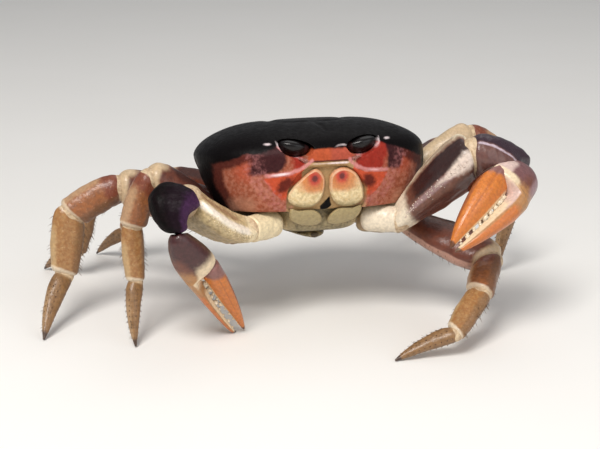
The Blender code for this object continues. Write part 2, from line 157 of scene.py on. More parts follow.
@dataclass
class Shape:
    """Points in millimetres, with faces and named masks that the finishes read."""

    points: Array
    quads: Array
    triangles: Array
    masks: dict[str, Array]

    def outward(self) -> "Shape":
        """The same closed shape with its faces turned outwards."""
        corners = np.concatenate([self.triangles, self.quads[:, [0, 1, 2]], self.quads[:, [0, 2, 3]]])
        a, b, c = (self.points[corners[:, k]] for k in range(3))
        if np.einsum("ij,ij->i", a, np.cross(b, c)).sum() < 0.0:
            self.quads, self.triangles = self.quads[:, ::-1], self.triangles[:, ::-1]
        return self

    @staticmethod
    def joined(shapes: Sequence["Shape"]) -> "Shape":
        """Several closed shapes as one, with the masks that any of them has."""
        starts = np.cumsum([0] + [len(shape.points) for shape in shapes])
        names = sorted({name for shape in shapes for name in shape.masks})
        masks = {name: np.concatenate([shape.masks.get(name, np.zeros(len(shape.points))) for shape in shapes])
                 for name in names}
        return Shape(np.concatenate([shape.points for shape in shapes]),
                     np.concatenate([shape.quads + start for shape, start in zip(shapes, starts)]),
                     np.concatenate([shape.triangles + start for shape, start in zip(shapes, starts)]), masks)


def tube_shape(rings: Array, masks: dict[str, Array]) -> Shape:
    """A closed shape through rings of points, each end closed to the middle of its last ring.

    Args:
        rings: Points as (ring, place round it, 3).
        masks: Values as (ring, place round it).

    Returns:
        The shape.
    """
    count, sides = rings.shape[:2]
    index = np.arange(count * sides).reshape(count, sides)
    ahead = np.roll(index, -1, axis=1)
    quads = np.stack([index[:-1], ahead[:-1], ahead[1:], index[1:]], axis=-1).reshape(-1, 4)
    first, last = count * sides, count * sides + 1
    fans = [np.stack([np.full(sides, first), ahead[0], index[0]], axis=-1),
            np.stack([np.full(sides, last), index[-1], ahead[-1]], axis=-1)]
    points = np.concatenate([rings.reshape(-1, 3), rings[[0, -1]].mean(axis=1)])
    flat = {name: np.concatenate([np.broadcast_to(value, (count, sides)).reshape(-1),
                                  np.broadcast_to(value, (count, sides))[[0, -1]].mean(axis=1)])
            for name, value in masks.items()}
    return Shape(points, quads, np.concatenate(fans), flat).outward()


def ball_net(facets: int) -> tuple[Array, Array]:
    """Unit directions over a whole ball, from a cube's net with facets x facets squares on each face."""
    steps = np.tan(np.linspace(-1.0, 1.0, facets + 1) * math.pi / 4.0)
    u, v = np.meshgrid(steps, steps, indexing="ij")
    grids, quads = [], []
    index = np.arange((facets + 1) ** 2).reshape(facets + 1, facets + 1)
    square = np.stack([index[:-1, :-1], index[1:, :-1], index[1:, 1:], index[:-1, 1:]], axis=-1).reshape(-1, 4)
    for axis in range(3):
        for sign in (1.0, -1.0):
            grid = np.empty((*u.shape, 3))
            grid[..., axis] = sign
            grid[..., (axis + 1) % 3], grid[..., (axis + 2) % 3] = u * sign, v
            quads.append(square + len(grids) * index.size)
            grids.append(grid.reshape(-1, 3))
    directions = np.concatenate(grids)
    _, first, place = np.unique(np.round(directions * 1e6).astype(np.int64), axis=0, return_index=True,
                                return_inverse=True)
    return unit(directions[first]), place.reshape(-1)[np.concatenate(quads)]


NO_TRIANGLES = np.empty((0, 3), int)


def ellipsoid(middle: Array, radii: Array, turn: Array, facets: int) -> Shape:
    """A turned ellipsoid.

    Args:
        middle: Its centre.
        radii: Its three half-lengths.
        turn: The rotation of its axes.
        facets: Squares along each edge of its cube net.

    Returns:
        The shape.
    """
    directions, quads = ball_net(facets)
    return Shape(middle + (directions * radii) @ turn.T, quads, NO_TRIANGLES, {}).outward()


# ---- finishes ------------------------------------------------------------------------------------


class Graph:
    """A material's node tree, with short calls for the nodes that the finishes use."""

    def __init__(self, name: str) -> None:
        """Start an empty material of this name."""
        self.material = bpy.data.materials.new(name)
        self.material.use_nodes = True
        self.tree = self.material.node_tree
        self.shader = self.tree.nodes["Principled BSDF"]
        self.place = self.tree.nodes.new("ShaderNodeTexCoord").outputs["Object"]

    def put(self, socket: bpy.types.NodeSocket, value: object) -> None:
        """Link a value that is a socket to an input, or set the input to it."""
        if isinstance(value, bpy.types.NodeSocket):
            self.tree.links.new(value, socket)
        elif isinstance(value, tuple) and len(value) == 3 and socket.type == "RGBA":
            socket.default_value = (*value, 1.0)
        else:
            socket.default_value = value

    def noise(self, size: float, detail: float = 2.0, shift: float = 0.0) -> bpy.types.NodeSocket:
        """Noise whose features are about this many millimetres wide."""
        node = self.tree.nodes.new("ShaderNodeTexNoise")
        node.noise_dimensions = "4D"
        self.put(node.inputs["Vector"], self.place)
        self.put(node.inputs["Scale"], 1.0 / (size * MM))
        self.put(node.inputs["Detail"], detail)
        self.put(node.inputs["W"], shift)
        return node.outputs["Fac"]

    def cells(self, size: float) -> bpy.types.NodeSocket:
        """The distance from the middle of round cells of this width in millimetres."""
        node = self.tree.nodes.new("ShaderNodeTexVoronoi")
        self.put(node.inputs["Vector"], self.place)
        self.put(node.inputs["Scale"], 1.0 / (size * MM))
        return node.outputs["Distance"]

    def mask(self, name: str) -> bpy.types.NodeSocket:
        """One of the piece's own masks."""
        node = self.tree.nodes.new("ShaderNodeAttribute")
        node.attribute_name = name
        return node.outputs["Fac"]

    def combine(self, kind: str, first: object, second: object) -> bpy.types.NodeSocket:
        """A Math node of this kind."""
        node = self.tree.nodes.new("ShaderNodeMath")
        node.operation = kind
        self.put(node.inputs[0], first)
        self.put(node.inputs[1], second)
        return node.outputs[0]

    def ramp(self, value: bpy.types.NodeSocket, low: float, high: float, bottom: float = 0.0,
             top: float = 1.0) -> bpy.types.NodeSocket:
        """A smooth step of a value, from bottom at low to top at high."""
        node = self.tree.nodes.new("ShaderNodeMapRange")
        node.interpolation_type = "SMOOTHSTEP"
        for name, setting in (("Value", value), ("From Min", low), ("From Max", high), ("To Min", bottom),
                              ("To Max", top)):
            self.put(node.inputs[name], setting)
        return node.outputs["Result"]

    def mix(self, share: object, under: object, over: object) -> bpy.types.NodeSocket:
        """One colour laid over another by a share."""
        node = self.tree.nodes.new("ShaderNodeMix")
        node.data_type = "RGBA"
        self.put(node.inputs[0], share)
        self.put(node.inputs[6], under)
        self.put(node.inputs[7], over)
        return node.outputs[2]


@dataclass(frozen=True)
class Tint:
    """A colour laid on where a mask is high, with an edge that noise breaks up."""

    mask: str
    colour: Colour
    strength: float = 1.0
    ragged: float = 0.35


@dataclass(frozen=True)
class ShellFinish:
    """Crab shell: a mottled colour with tints, fine grain, low bumps and a thin wet gloss."""

    name: str
    base: Colour
    mottle: Colour
    tints: tuple[Tint, ...] = ()
    mottle_size: float = 2.4
    mottle_share: float = 0.55
    fleck: Colour | None = None
    fleck_share: float = 0.12
    roughness: float = 0.38
    gloss: float = 0.22
    ior: float = 1.5
    grain: float = 0.05
    bumps: float = 0.05
    bump_size: float = 0.9

    def material(self) -> bpy.types.Material:
        """The finish as a material, made once."""
        found = bpy.data.materials.get(self.name)
        if found is not None:
            return found
        graph = Graph(self.name)
        cloud = graph.noise(self.mottle_size, 4.0)
        speckle = graph.noise(0.5, 3.0, 3.0)
        colour = graph.mix(graph.ramp(cloud, 0.40, 0.62, 0.0, self.mottle_share), self.base, self.mottle)
        for number, tint in enumerate(self.tints):
            edge = graph.noise(1.3, 4.0, 10.0 + number)
            pushed = graph.combine("MULTIPLY_ADD", edge, tint.ragged)
            pushed.node.inputs[2].default_value = -0.5 * tint.ragged
            reach = graph.combine("ADD", graph.mask(tint.mask), pushed)
            colour = graph.mix(graph.ramp(reach, 0.18, 0.82, 0.0, tint.strength), colour, tint.colour)
        if self.fleck is not None:
            colour = graph.mix(graph.ramp(speckle, 0.60, 0.72, 0.0, self.fleck_share), colour, self.fleck)
        shade = graph.ramp(graph.noise(0.9, 3.0, 7.0), 0.3, 0.7, 0.86, 1.08)
        tone = graph.tree.nodes.new("ShaderNodeVectorMath")
        tone.operation = "SCALE"
        graph.put(tone.inputs[0], colour)
        graph.put(tone.inputs["Scale"], shade)
        graph.put(graph.shader.inputs["Base Color"], tone.outputs[0])
        rough = graph.ramp(graph.noise(1.6, 3.0, 5.0), 0.25, 0.75, self.roughness - 0.07, self.roughness + 0.10)
        graph.put(graph.shader.inputs["Roughness"], rough)
        graph.shader.inputs["Coat Weight"].default_value = self.gloss
        graph.shader.inputs["Coat Roughness"].default_value = 0.16
        graph.shader.inputs["IOR"].default_value = self.ior
        grain = graph.combine("MULTIPLY", graph.noise(0.45, 4.0, 1.0), self.grain)
        swell = graph.combine("MULTIPLY", graph.ramp(graph.cells(self.bump_size), 0.0, 0.6, 1.0, 0.0), self.bumps)
        bump = graph.tree.nodes.new("ShaderNodeBump")
        bump.inputs["Strength"].default_value = 1.0
        bump.inputs["Distance"].default_value = MM
        graph.put(bump.inputs["Height"], graph.combine("ADD", grain, swell))
        graph.put(graph.shader.inputs["Normal"], bump.outputs["Normal"])
        return graph.material


@dataclass(frozen=True)
class EyeFinish:
    """A wet black eye, slightly brown where it thins."""

    name: str = "eye_gloss"

    def material(self) -> bpy.types.Material:
        """The finish as a material, made once."""
        found = bpy.data.materials.get(self.name)
        if found is not None:
            return found
        graph = Graph(self.name)
        stalk = graph.mix(graph.noise(0.7, 3.0), srgb(60, 30, 30), srgb(36, 18, 20))
        bead = graph.mix(graph.noise(0.4, 2.0, 4.0), srgb(8, 6, 7), srgb(18, 12, 12))
        seen = graph.ramp(graph.mask("stalk"), 0.3, 0.7)
        graph.put(graph.shader.inputs["Base Color"], graph.mix(seen, bead, stalk))
        graph.put(graph.shader.inputs["Roughness"], graph.ramp(graph.mask("stalk"), 0.3, 0.7, 0.3, 0.5))
        graph.shader.inputs["Specular IOR Level"].default_value = 0.3
        graph.shader.inputs["Coat Weight"].default_value = 0.12
        graph.shader.inputs["Coat Roughness"].default_value = 0.1
        return graph.material


@dataclass(frozen=True)
class FloorFinish:
    """A plain, pale, matt floor."""

    name: str = "studio_floor"

    def material(self) -> bpy.types.Material:
        """The finish as a material."""
        graph = Graph(self.name)
        colour = graph.mix(graph.noise(60.0, 2.0), srgb(240, 238, 234), srgb(243, 241, 238))
        graph.put(graph.shader.inputs["Base Color"], colour)
        graph.shader.inputs["Roughness"].default_value = 0.75
        return graph.material


BLACK = srgb(10, 7, 8)
CREAM = srgb(226, 202, 160)

CARAPACE_FINISH = ShellFinish(
    "carapace_shell", srgb(148, 80, 58), srgb(178, 116, 94),
    (Tint("under", srgb(150, 130, 98)), Tint("shade", srgb(56, 28, 24), 0.9), Tint("glow", srgb(170, 70, 46), 0.6),
     # rim: painted shade, a dark red-brown band under the black edge and inside the black band where the sides turn
     # away from the light.
     Tint("rim", srgb(72, 30, 26), 0.92, 0.6), Tint("tan", srgb(178, 128, 104), 0.6, 0.6),
     Tint("red", srgb(146, 36, 27), 0.9, 0.7), Tint("orange", srgb(190, 76, 46), 0.9, 0.7),
     Tint("plum", srgb(46, 22, 28), 0.95, 0.7), Tint("olive", srgb(168, 138, 96), 0.95, 0.6),
     Tint("front", srgb(176, 80, 48), 0.95), Tint("blush", srgb(166, 78, 64), 0.7),
     Tint("spot", srgb(64, 22, 22), 0.85, 0.7), Tint("pink", srgb(206, 134, 132), 0.8, 0.9),
     # black: the shell's own black on top, with painted shade down the outer sides and in the hollow between the
     # mouth plates.
     Tint("black", BLACK, 1.0, 0.7), Tint("pale", srgb(238, 220, 222), 0.85, 0.25)),
    # pale: the shell's own pale marks, with a painted sheen on the front and a painted highlight under it.
    mottle_size=1.3, mottle_share=0.7, roughness=0.42, gloss=0.0, ior=1.17, grain=0.035, bumps=0.03)
UNDERSIDE_FINISH = ShellFinish(
    "underside_shell", srgb(158, 142, 104), srgb(116, 102, 70),
    (Tint("groove", srgb(66, 50, 36), 0.85), Tint("cream", srgb(212, 190, 148), 0.65, 0.6)),
    mottle_size=1.1, mottle_share=0.95, fleck=srgb(82, 66, 48), fleck_share=0.55, roughness=0.5, gloss=0.08)
MOUTH_FINISH = ShellFinish(
    "mouth_plate_shell", srgb(232, 210, 164), srgb(204, 176, 124),
    (Tint("olive", srgb(164, 146, 102), 0.9, 0.8), Tint("blush", srgb(196, 112, 50), 0.9, 0.3),
     Tint("ring", srgb(182, 54, 38), 0.95, 0.3), Tint("spot", srgb(84, 24, 24), 0.9, 0.4),
     # groove: painted shade round each plate's edge, where it meets the face.
     Tint("edge", srgb(226, 186, 150), 0.6), Tint("groove", srgb(138, 110, 74), 0.7)),
    mottle_size=1.2, mottle_share=0.75, fleck=srgb(150, 124, 84), fleck_share=0.4, roughness=0.42, gloss=0.1,
    grain=0.05, bumps=0.03)


# ---- pieces --------------------------------------------------------------------------------------


class Stand:
    """Where the body and the limbs stand in the part's frame."""

    CENTRE = np.array((0.0, 0.0, 47.0))
    PITCH = 9.0
    EYE = np.array((10.6, -25.1, 10.7))

    def __init__(self) -> None:
        """Read the place of the standing frame from the middle of an eye's solid."""
        lean = math.radians(-self.PITCH)
        self.tilt = np.array(Matrix.Rotation(lean, 3, "X"))
        low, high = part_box("eye_left")
        self.shift = 0.5 * (np.array(low) + np.array(high)) / MM - self.from_body(self.EYE)

    def from_body(self, points: Array) -> Array:
        """Points of the body frame in the standing frame."""
        return points @ self.tilt.T + self.CENTRE

    def to_part(self, points: Array) -> Array:
        """Points of the standing frame in the part's frame, in metres."""
        return (points + self.shift) * MM


STAND = Stand()


def add_piece(name: str, shape: Shape, finish: ShellFinish | EyeFinish,
              nodes: Sequence[str] = ()) -> bpy.types.Object:
    """Make a piece from a shape of the standing frame, dress it and tie it to the frame.

    Args:
        name: The piece's name.
        shape: Its points, faces and masks.
        finish: Its finish.
        nodes: The solids that the piece stands for.

    Returns:
        The piece.
    """
    mesh = bpy.data.meshes.new(name)
    mesh.from_pydata(STAND.to_part(shape.points).tolist(), [], shape.quads.tolist() + shape.triangles.tolist())
    for mask, values in shape.masks.items():
        layer = mesh.attributes.new(mask, "FLOAT", "POINT")
        layer.data.foreach_set("value", np.ascontiguousarray(values, np.float32))
    mesh.validate()
    return tie_piece(name, mesh, finish.material(), nodes)


def tie_piece(name: str, mesh: bpy.types.Mesh, material: bpy.types.Material,
              nodes: Sequence[str]) -> bpy.types.Object:
    """Put a finished mesh in the scene as a piece that rides on the still body."""
    mesh.shade_smooth()
    mesh.materials.clear()
    mesh.materials.append(material)
    piece = bpy.data.objects.new(name, mesh)
    bpy.context.scene.collection.objects.link(piece)
    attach(piece, "root")
    if nodes:
        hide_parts(*nodes)
    LOG.info("%s: %d faces, for %s", name, len(mesh.polygons), ", ".join(nodes) or "no solid")
    return piece


# ---- studs planted by geometry nodes -------------------------------------------------------------


class Stud(Enum):
    """What is planted: foot radius, top radius and height in millimetres, and sides."""

    SPINE = (0.30, 0.03, 1.0, 7)
    GRANULE = (0.30, 0.14, 0.22, 8)
    TOOTH = (0.85, 0.42, 0.85, 12)
    BRISTLE = (0.06, 0.012, 1.0, 5)


class Planter:
    """A geometry node tree that plants a cone on every point of a mesh, leaning the way the point says."""

    INPUTS = (("Foot Radius", "NodeSocketFloat"), ("Top Radius", "NodeSocketFloat"), ("Height", "NodeSocketFloat"),
              ("Sides", "NodeSocketInt"), ("Seed", "NodeSocketInt"), ("Material", "NodeSocketMaterial"))

    def __init__(self) -> None:
        """Build the tree."""
        self.tree = bpy.data.node_groups.new("plant_studs", "GeometryNodeTree")
        face = self.tree.interface
        face.new_socket("Geometry", in_out="INPUT", socket_type="NodeSocketGeometry")
        self.sockets = {name: face.new_socket(name, in_out="INPUT", socket_type=kind).identifier
                        for name, kind in self.INPUTS}
        face.new_socket("Geometry", in_out="OUTPUT", socket_type="NodeSocketGeometry")
        nodes, link = self.tree.nodes, self.tree.links.new
        given = nodes.new("NodeGroupInput")
        cone = nodes.new("GeometryNodeMeshCone")
        for name, source in (("Radius Bottom", "Foot Radius"), ("Radius Top", "Top Radius"), ("Depth", "Height"),
                             ("Vertices", "Sides")):
            link(given.outputs[source], cone.inputs[name])
        way = self.attribute("way", "FLOAT_VECTOR")
        size = self.attribute("size", "FLOAT")
        lean = nodes.new("FunctionNodeAlignRotationToVector")
        lean.axis = "Z"
        link(way, lean.inputs["Vector"])
        vary = nodes.new("FunctionNodeRandomValue")
        vary.inputs[2].default_value, vary.inputs[3].default_value = 0.8, 1.2
        link(given.outputs["Seed"], vary.inputs["Seed"])
        scale = nodes.new("ShaderNodeMath")
        scale.operation = "MULTIPLY"
        link(size, scale.inputs[0])
        link(vary.outputs[1], scale.inputs[1])
        plant = nodes.new("GeometryNodeInstanceOnPoints")
        link(given.outputs["Geometry"], plant.inputs["Points"])
        link(cone.outputs["Mesh"], plant.inputs["Instance"])
        link(lean.outputs["Rotation"], plant.inputs["Rotation"])
        link(scale.outputs[0], plant.inputs["Scale"])
        real = nodes.new("GeometryNodeRealizeInstances")
        link(plant.outputs["Instances"], real.inputs["Geometry"])
        dress = nodes.new("GeometryNodeSetMaterial")
        link(real.outputs["Geometry"], dress.inputs["Geometry"])
        link(given.outputs["Material"], dress.inputs["Material"])
        link(dress.outputs["Geometry"], nodes.new("NodeGroupOutput").inputs["Geometry"])

    def attribute(self, name: str, kind: str) -> bpy.types.NodeSocket:
        """The socket of a named attribute of the points."""
        node = self.tree.nodes.new("GeometryNodeInputNamedAttribute")
        node.data_type = kind
        node.inputs["Name"].default_value = name
        return node.outputs["Attribute"]

    def plant(self, name: str, stud: Stud, points: Array, ways: Array, sizes: Array, finish: ShellFinish,
              slot: str, seed: int) -> bpy.types.Object:
        """Plant studs and leave them as one plain mesh.

        Args:
            name: The piece's name.
            stud: What is planted.
            points: Where, in the standing frame.
            ways: Which way each one points.
            sizes: The size of each one, as a share of the stud's own.
            finish: The finish.
            slot: Not used.
            seed: The seed of their small differences in size.

        Returns:
            The piece.
        """
        bed = bpy.data.meshes.new(name + "_bed")
        bed.from_pydata(STAND.to_part(points).tolist(), [], [])
        for layer, kind, field, values in (("way", "FLOAT_VECTOR", "vector", unit(ways)),
                                           ("size", "FLOAT", "value", sizes)):
            bed.attributes.new(layer, kind, "POINT").data.foreach_set(field, values.astype(np.float32).ravel())
        holder = bpy.data.objects.new(name + "_bed", bed)
        bpy.context.scene.collection.objects.link(holder)
        modifier = holder.modifiers.new("plant", "NODES")
        modifier.node_group = self.tree
        foot, top, height, sides = stud.value
        material = finish.material()
        for socket, value in (("Foot Radius", foot * MM), ("Top Radius", top * MM), ("Height", height * MM),
                              ("Sides", sides), ("Seed", seed), ("Material", material)):
            modifier[self.sockets[socket]] = value
        grown = holder.evaluated_get(bpy.context.evaluated_depsgraph_get())
        mesh = bpy.data.meshes.new_from_object(grown)
        mesh.name = name
        bpy.data.objects.remove(holder)
        return tie_piece(name, mesh, material, ())


# ---- the body ------------------------------------------------------------------------------------

FACE_EDGE = 0.02                            # how much a point has to belong to the face to be hollowed

@dataclass(frozen=True)
class Body:
    """The carapace with its face, the sternum and the folded tail."""

    half_width: float = 38.6
    middle: tuple[float, float, float] = (0.0, -2.0, 8.0)
    front_length: float = 27.5
    rear_length: float = 32.0
    front_power: float = 2.6                # how square the outline is seen from above, ahead of the middle
    rear_power: float = 2.2                 # the same behind it
    crown_power: float = 2.5                # how square the back and the face are seen from the side
    dome: float = 10.6
    keel: float = 29.0
    belly: float = -18.8
    shell_edge: float = 38.8
    edge_rise: float = 0.09                 # how steeply the shell's lower edge rises towards the front
    rear_drop: float = 5.0
    flare: float = 2.8                      # how much the flanks bulge below the shell's widest level
    facets: int = 116
    crowding: float = 0.42                  # how much closer together the net's points are on the face
    eye_radii: tuple[float, float, float] = (5.3, 3.1, 3.5)
    eye_tilt: float = 12.0
    orbit_clearance: float = 0.5
    brow: float = 0.5                       # how much of an eye's upper half shows under the brow
    eye_raise: tuple[float, float, float] = (0.5, 0.0, 1.1)
    front_turn: float = 1.3                 # how far the eyes and the front sit towards the crab's left
    mouth_depth: float = 1.5
    mouth: tuple[Station, ...] = ((-14.5, 9.5), (-13.4, 10.4), (-11.4, 11.6), (-9.4, 12.4), (-7.4, 13.2),
                                  (-3.8, 13.0), (0.6, 11.0), (3.0, 8.8), (4.6, 6.2))
    ridge: tuple[tuple[float, float], ...] = ((6.4, 6.8), (7.6, 5.5), (9.6, 4.3), (12.8, 3.1), (16.5, 2.7),
                                              (20.5, 2.5))
    flank_line: tuple[tuple[float, float], ...] = ((25.2, 8.6), (24.4, 5.0), (22.6, 1.2), (20.0, -3.0), (16.6, -6.6),
                                                   (12.5, -9.5))
    orbit_rim: tuple[tuple[float, float], ...] = ((17.4, 13.4), (17.2, 11.9), (16.0, 10.5), (13.6, 9.2), (11.2, 8.2),
                                                  (9.0, 7.4))

    def skin(self, directions: Array) -> Array:
        """The body's plain outer surface, as the solid has it.

        Args:
            directions: Unit directions from the shell's middle.

        Returns:
            Points of the body frame.
        """
        x, y, z = directions.T
        flat = np.maximum(np.hypot(x, y), 1e-9)
        across, along = x / flat, y / flat
        power = np.where(along < 0.0, self.front_power, self.rear_power)
        length = np.where(along < 0.0, self.front_length, self.rear_length)
        reach = ((np.abs(across) / self.half_width) ** power + (np.abs(along) / length) ** power) ** (-1.0 / power)
        wall = 1.3 + 1.4 * smooth(0.02, 0.35, -along) - 0.2 * smooth(0.5, 1.0, -along)
        above = z >= 0.0
        spread = flat ** (2.0 / np.where(above, self.crown_power, wall))
        rise = np.where(above, self.dome * z, -self.keel * np.abs(z) ** (2.0 / wall))
        points = np.array(self.middle) + np.stack([across * reach * spread, along * reach * spread, rise], axis=1)
        points[:, 2] -= self.rear_drop * smooth(4.0, 30.0, points[:, 1]) * smooth(-8.0, 14.0, points[:, 2])
        return points

    def front_wall(self, across: Array, level: Array) -> Array:
        """How far ahead the face is at a place, in the body frame."""
        rise = level - self.middle[2]
        crown, front = self.crown_power, self.front_power
        sunk = np.maximum(0.0, -rise) / self.keel
        spread = np.where(rise >= 0.0, np.maximum(0.0, 1 - (rise / self.dome) ** 2) ** (1 / crown),
                          np.maximum(0.0, 1 - sunk ** crown) ** (1 / crown))
        rest = np.maximum(0.0, spread ** front - (np.abs(across) / self.half_width) ** front)
        return self.middle[1] - self.front_length * rest ** (1 / front)

    def net(self) -> tuple[Array, Array]:
        """The carapace's net, crowded towards the face."""
        rays, quads = ball_net(self.facets)
        from_middle = rays[:, 1] * -self.crowding
        reach = -from_middle + np.sqrt(from_middle ** 2 + 1.0 - self.crowding ** 2)
        places = rays * reach[:, None]
        places[:, 1] -= self.crowding
        return unit(places), quads

    def ridge_level(self, ax: Array) -> Array:
        """The level of the pale ridge under the eyes."""
        return np.interp(ax, [x for x, _ in self.ridge], [z for _, z in self.ridge])

    def carapace(self) -> Shape:
        """The carapace, with the orbits, the mouth's field and the back's grooves."""
        directions, quads = self.net()
        p = self.skin(directions)
        outward = unit(directions * np.array((1.0, 1.0, 0.0)) + np.array((0.0, 1e-6, 0.0)))
        p += outward * (self.flare * hill(p[:, 2], 7.0) * smooth(-0.35, 0.0, outward[:, 1]))[:, None]
        x, y, z = p.T.copy()
        face = smooth(-12.0, -19.0, y)
        x -= self.front_turn * face * smooth(2.0, 8.0, z)
        ax = np.abs(x)
        top = smooth(0.15, 0.5, directions[:, 2])
        ridge, flank = far_from_path(ax, z, self.ridge), far_from_path(ax, z, self.flank_line)
        rim = far_from_path(ax, z, self.orbit_rim)
        low_lip = 6.7 + 0.25 * smooth(3.0, 8.0, ax)
        lip = smooth(8.2, 7.0, ax + 0.25 * (z - 8.0)) * smooth(low_lip - 0.15, low_lip + 0.35, z)
        p = self.hollow_orbits(p, face)
        p = self.hollow_mouth(p, face)
        p[:, 2] += top * self.back_relief(x, y)
        p[:, 2] = np.maximum(p[:, 2], self.belly)
        masks = self.carapace_masks(np.stack([x, y, z], axis=1), face, ridge, flank, rim, lip)
        points = STAND.from_body(p)
        edge = self.shell_edge - self.edge_rise * points[:, 1]
        points[:, 2] = edge + 0.35 * np.logaddexp(0.0, (points[:, 2] - edge) / 0.35)
        return Shape(points, quads, NO_TRIANGLES, masks).outward()

    def triangle(self, ax: Array, z: Array) -> Array:
        """1 inside the orange field between the ridge, the mouth and the flank line."""
        line = np.interp(z, (-9.5, -6.6, -3.0, 1.2, 5.0, 8.6), (12.5, 15.4, 18.6, 21.4, 23.6, 25.2))
        low = self.ridge_level(ax) - 0.3
        return smooth(low, low - 0.9, z) * smooth(line, line - 1.6, ax) * smooth(-7.5, -3.5, z)

    def under_orbit(self, ax: Array, z: Array) -> Array:
        """1 in the field between the orbit's lower rim and the ridge."""
        low = self.ridge_level(ax)
        return smooth(low, low + 1.0, z) * smooth(25.0, 23.0, ax) * smooth(8.0, 9.5, ax) * smooth(13.4, 12.0, z)

    def hollow_orbits(self, p: Array, face: Array) -> Array:
        """Press the two eye sockets into the face."""
        middle, radii = Stand.EYE + np.array(self.eye_raise), np.array(self.eye_radii) + self.orbit_clearance
        lean = math.radians(self.eye_tilt)
        ax = np.abs(p[:, 0] - self.front_turn) - middle[0]
        rise = p[:, 2] - middle[2]
        along = ax * math.cos(lean) + rise * math.sin(lean)
        up = -ax * math.sin(lean) + rise * math.cos(lean)
        tall = radii[2] * np.where(up > 0.0, self.brow, 1.0)
        inside = 1.0 - (along / radii[0]) ** 2 - (up / tall) ** 2
        back = middle[1] + radii[1] * np.sqrt(np.maximum(inside, 0.0))
        depth = np.maximum(0.0, back - p[:, 1]) * smooth(0.0, 0.10, inside)
        p[:, 1] += depth * (face > FACE_EDGE)
        return p

    def hollow_mouth(self, p: Array, face: Array) -> Array:
        """Press the mouth's field into the face, behind its two plates."""
        outer = curve_through(self.mouth, np.clip(p[:, 2], self.mouth[0][0], self.mouth[-1][0]))[0] + 0.35
        inside = np.minimum(outer - np.abs(p[:, 0]), 4.9 - p[:, 2])
        p[:, 1] += self.mouth_depth * smooth(-0.1, 0.55, inside) * (face > FACE_EDGE)
        p[:, 1] -= 0.35 * hill(inside + 0.7, 0.5) * face
        return p

    def back_relief(self, x: Array, y: Array) -> Array:
        """The swellings and grooves of the back."""
        ax = np.abs(x)
        crescent = far_from_path(ax, y, ((3.0, -9.6), (6.6, -9.3), (10.0, -7.5), (12.4, -4.2), (13.3, 0.0),
                                         (12.7, 4.0), (11.0, 7.6), (8.8, 10.6)))
        heart = far_from_path(ax, y, ((6.0, 12.0), (7.4, 15.0), (7.6, 18.0), (6.6, 22.0)))
        relief = -0.42 * hill(crescent, 1.7) - 0.30 * hill(heart, 1.5)
        relief -= 0.32 * hill(ax, 1.0) * smooth(-6.0, -12.0, y) * smooth(-25.0, -20.0, y)
        relief -= 0.28 * hill(y - 10.8, 1.5) * smooth(9.0, 6.0, ax)
        relief += 0.5 * hill(ax - 23.0, 9.0) * hill(y - 2.0, 12.0)
        return relief

    def carapace_masks(self, p: Array, face: Array, ridge: Array, flank: Array, rim: Array,
                       lip: Array) -> dict[str, Array]:
        """Where the carapace takes each of its colours.

        Args:
            p: The plain surface's points in the body frame.
            face: How much each point belongs to the face.
            ridge: Distance from the pale ridge.
            flank: Distance from the flank line.
            rim: Distance from the orbit's lower rim.
            lip: 1 on the front between the eyes.

        Returns:
            The masks by name.
        """
        x, y, z = p.T
        ax = np.abs(x)
        left = smooth(-2.0, 2.0, x)
        edge = np.interp(ax, (0.0, 7.5, 9.0, 15.0, 17.0, 19.0, 23.5, 27.0, 32.0, 38.6),
                         (10.7, 10.7, 9.4, 12.0, 12.2, 11.2, 9.8, 8.6, 6.4, 4.6))
        edge = np.where(y > 0.0, edge - 0.12 * y, edge) + 1.5 * (1.0 - left) * smooth(23.0, 28.0, ax)
        sideways = (ax / self.half_width) ** self.front_power
        forward = (np.abs(y - self.middle[1]) / self.front_length) ** self.front_power
        flank_share = np.where(y > self.middle[1], 1.0, (sideways / (sideways + forward)) ** (1.0 / self.front_power))
        # On the top the black is the shell's own colour; the black band down the outer sides is painted shade where
        # the side turns away from the light.
        corner = 0.93 - 0.05 * smooth(2.0, -9.0, z)
        black = np.maximum(smooth(edge - 1.3, edge + 0.9, z), smooth(corner - 0.05, corner + 0.04, flank_share))
        # Painted shade: black laid into the hollow between the mouth plates.
        gap = 1.7 * np.abs(x - 0.35 * (z + 8.2)) + np.abs(z + 8.6)
        black = np.maximum(black, 0.85 * face * smooth(4.2, 2.6, gap))
        under = self.under_orbit(ax, z) * face
        orbit = smooth(18.0, 10.5, ax + 0.5 * (10.0 - z)) * under
        slant = np.where(x > 0.0, np.hypot(ax - 14.0, z + 0.7),
                         np.hypot(0.5 * (ax - z - 14.7), 0.85 * (ax + z - 13.3)))
        wall = smooth(20.0, 26.0, ax + 12.0 * (1.0 - face))
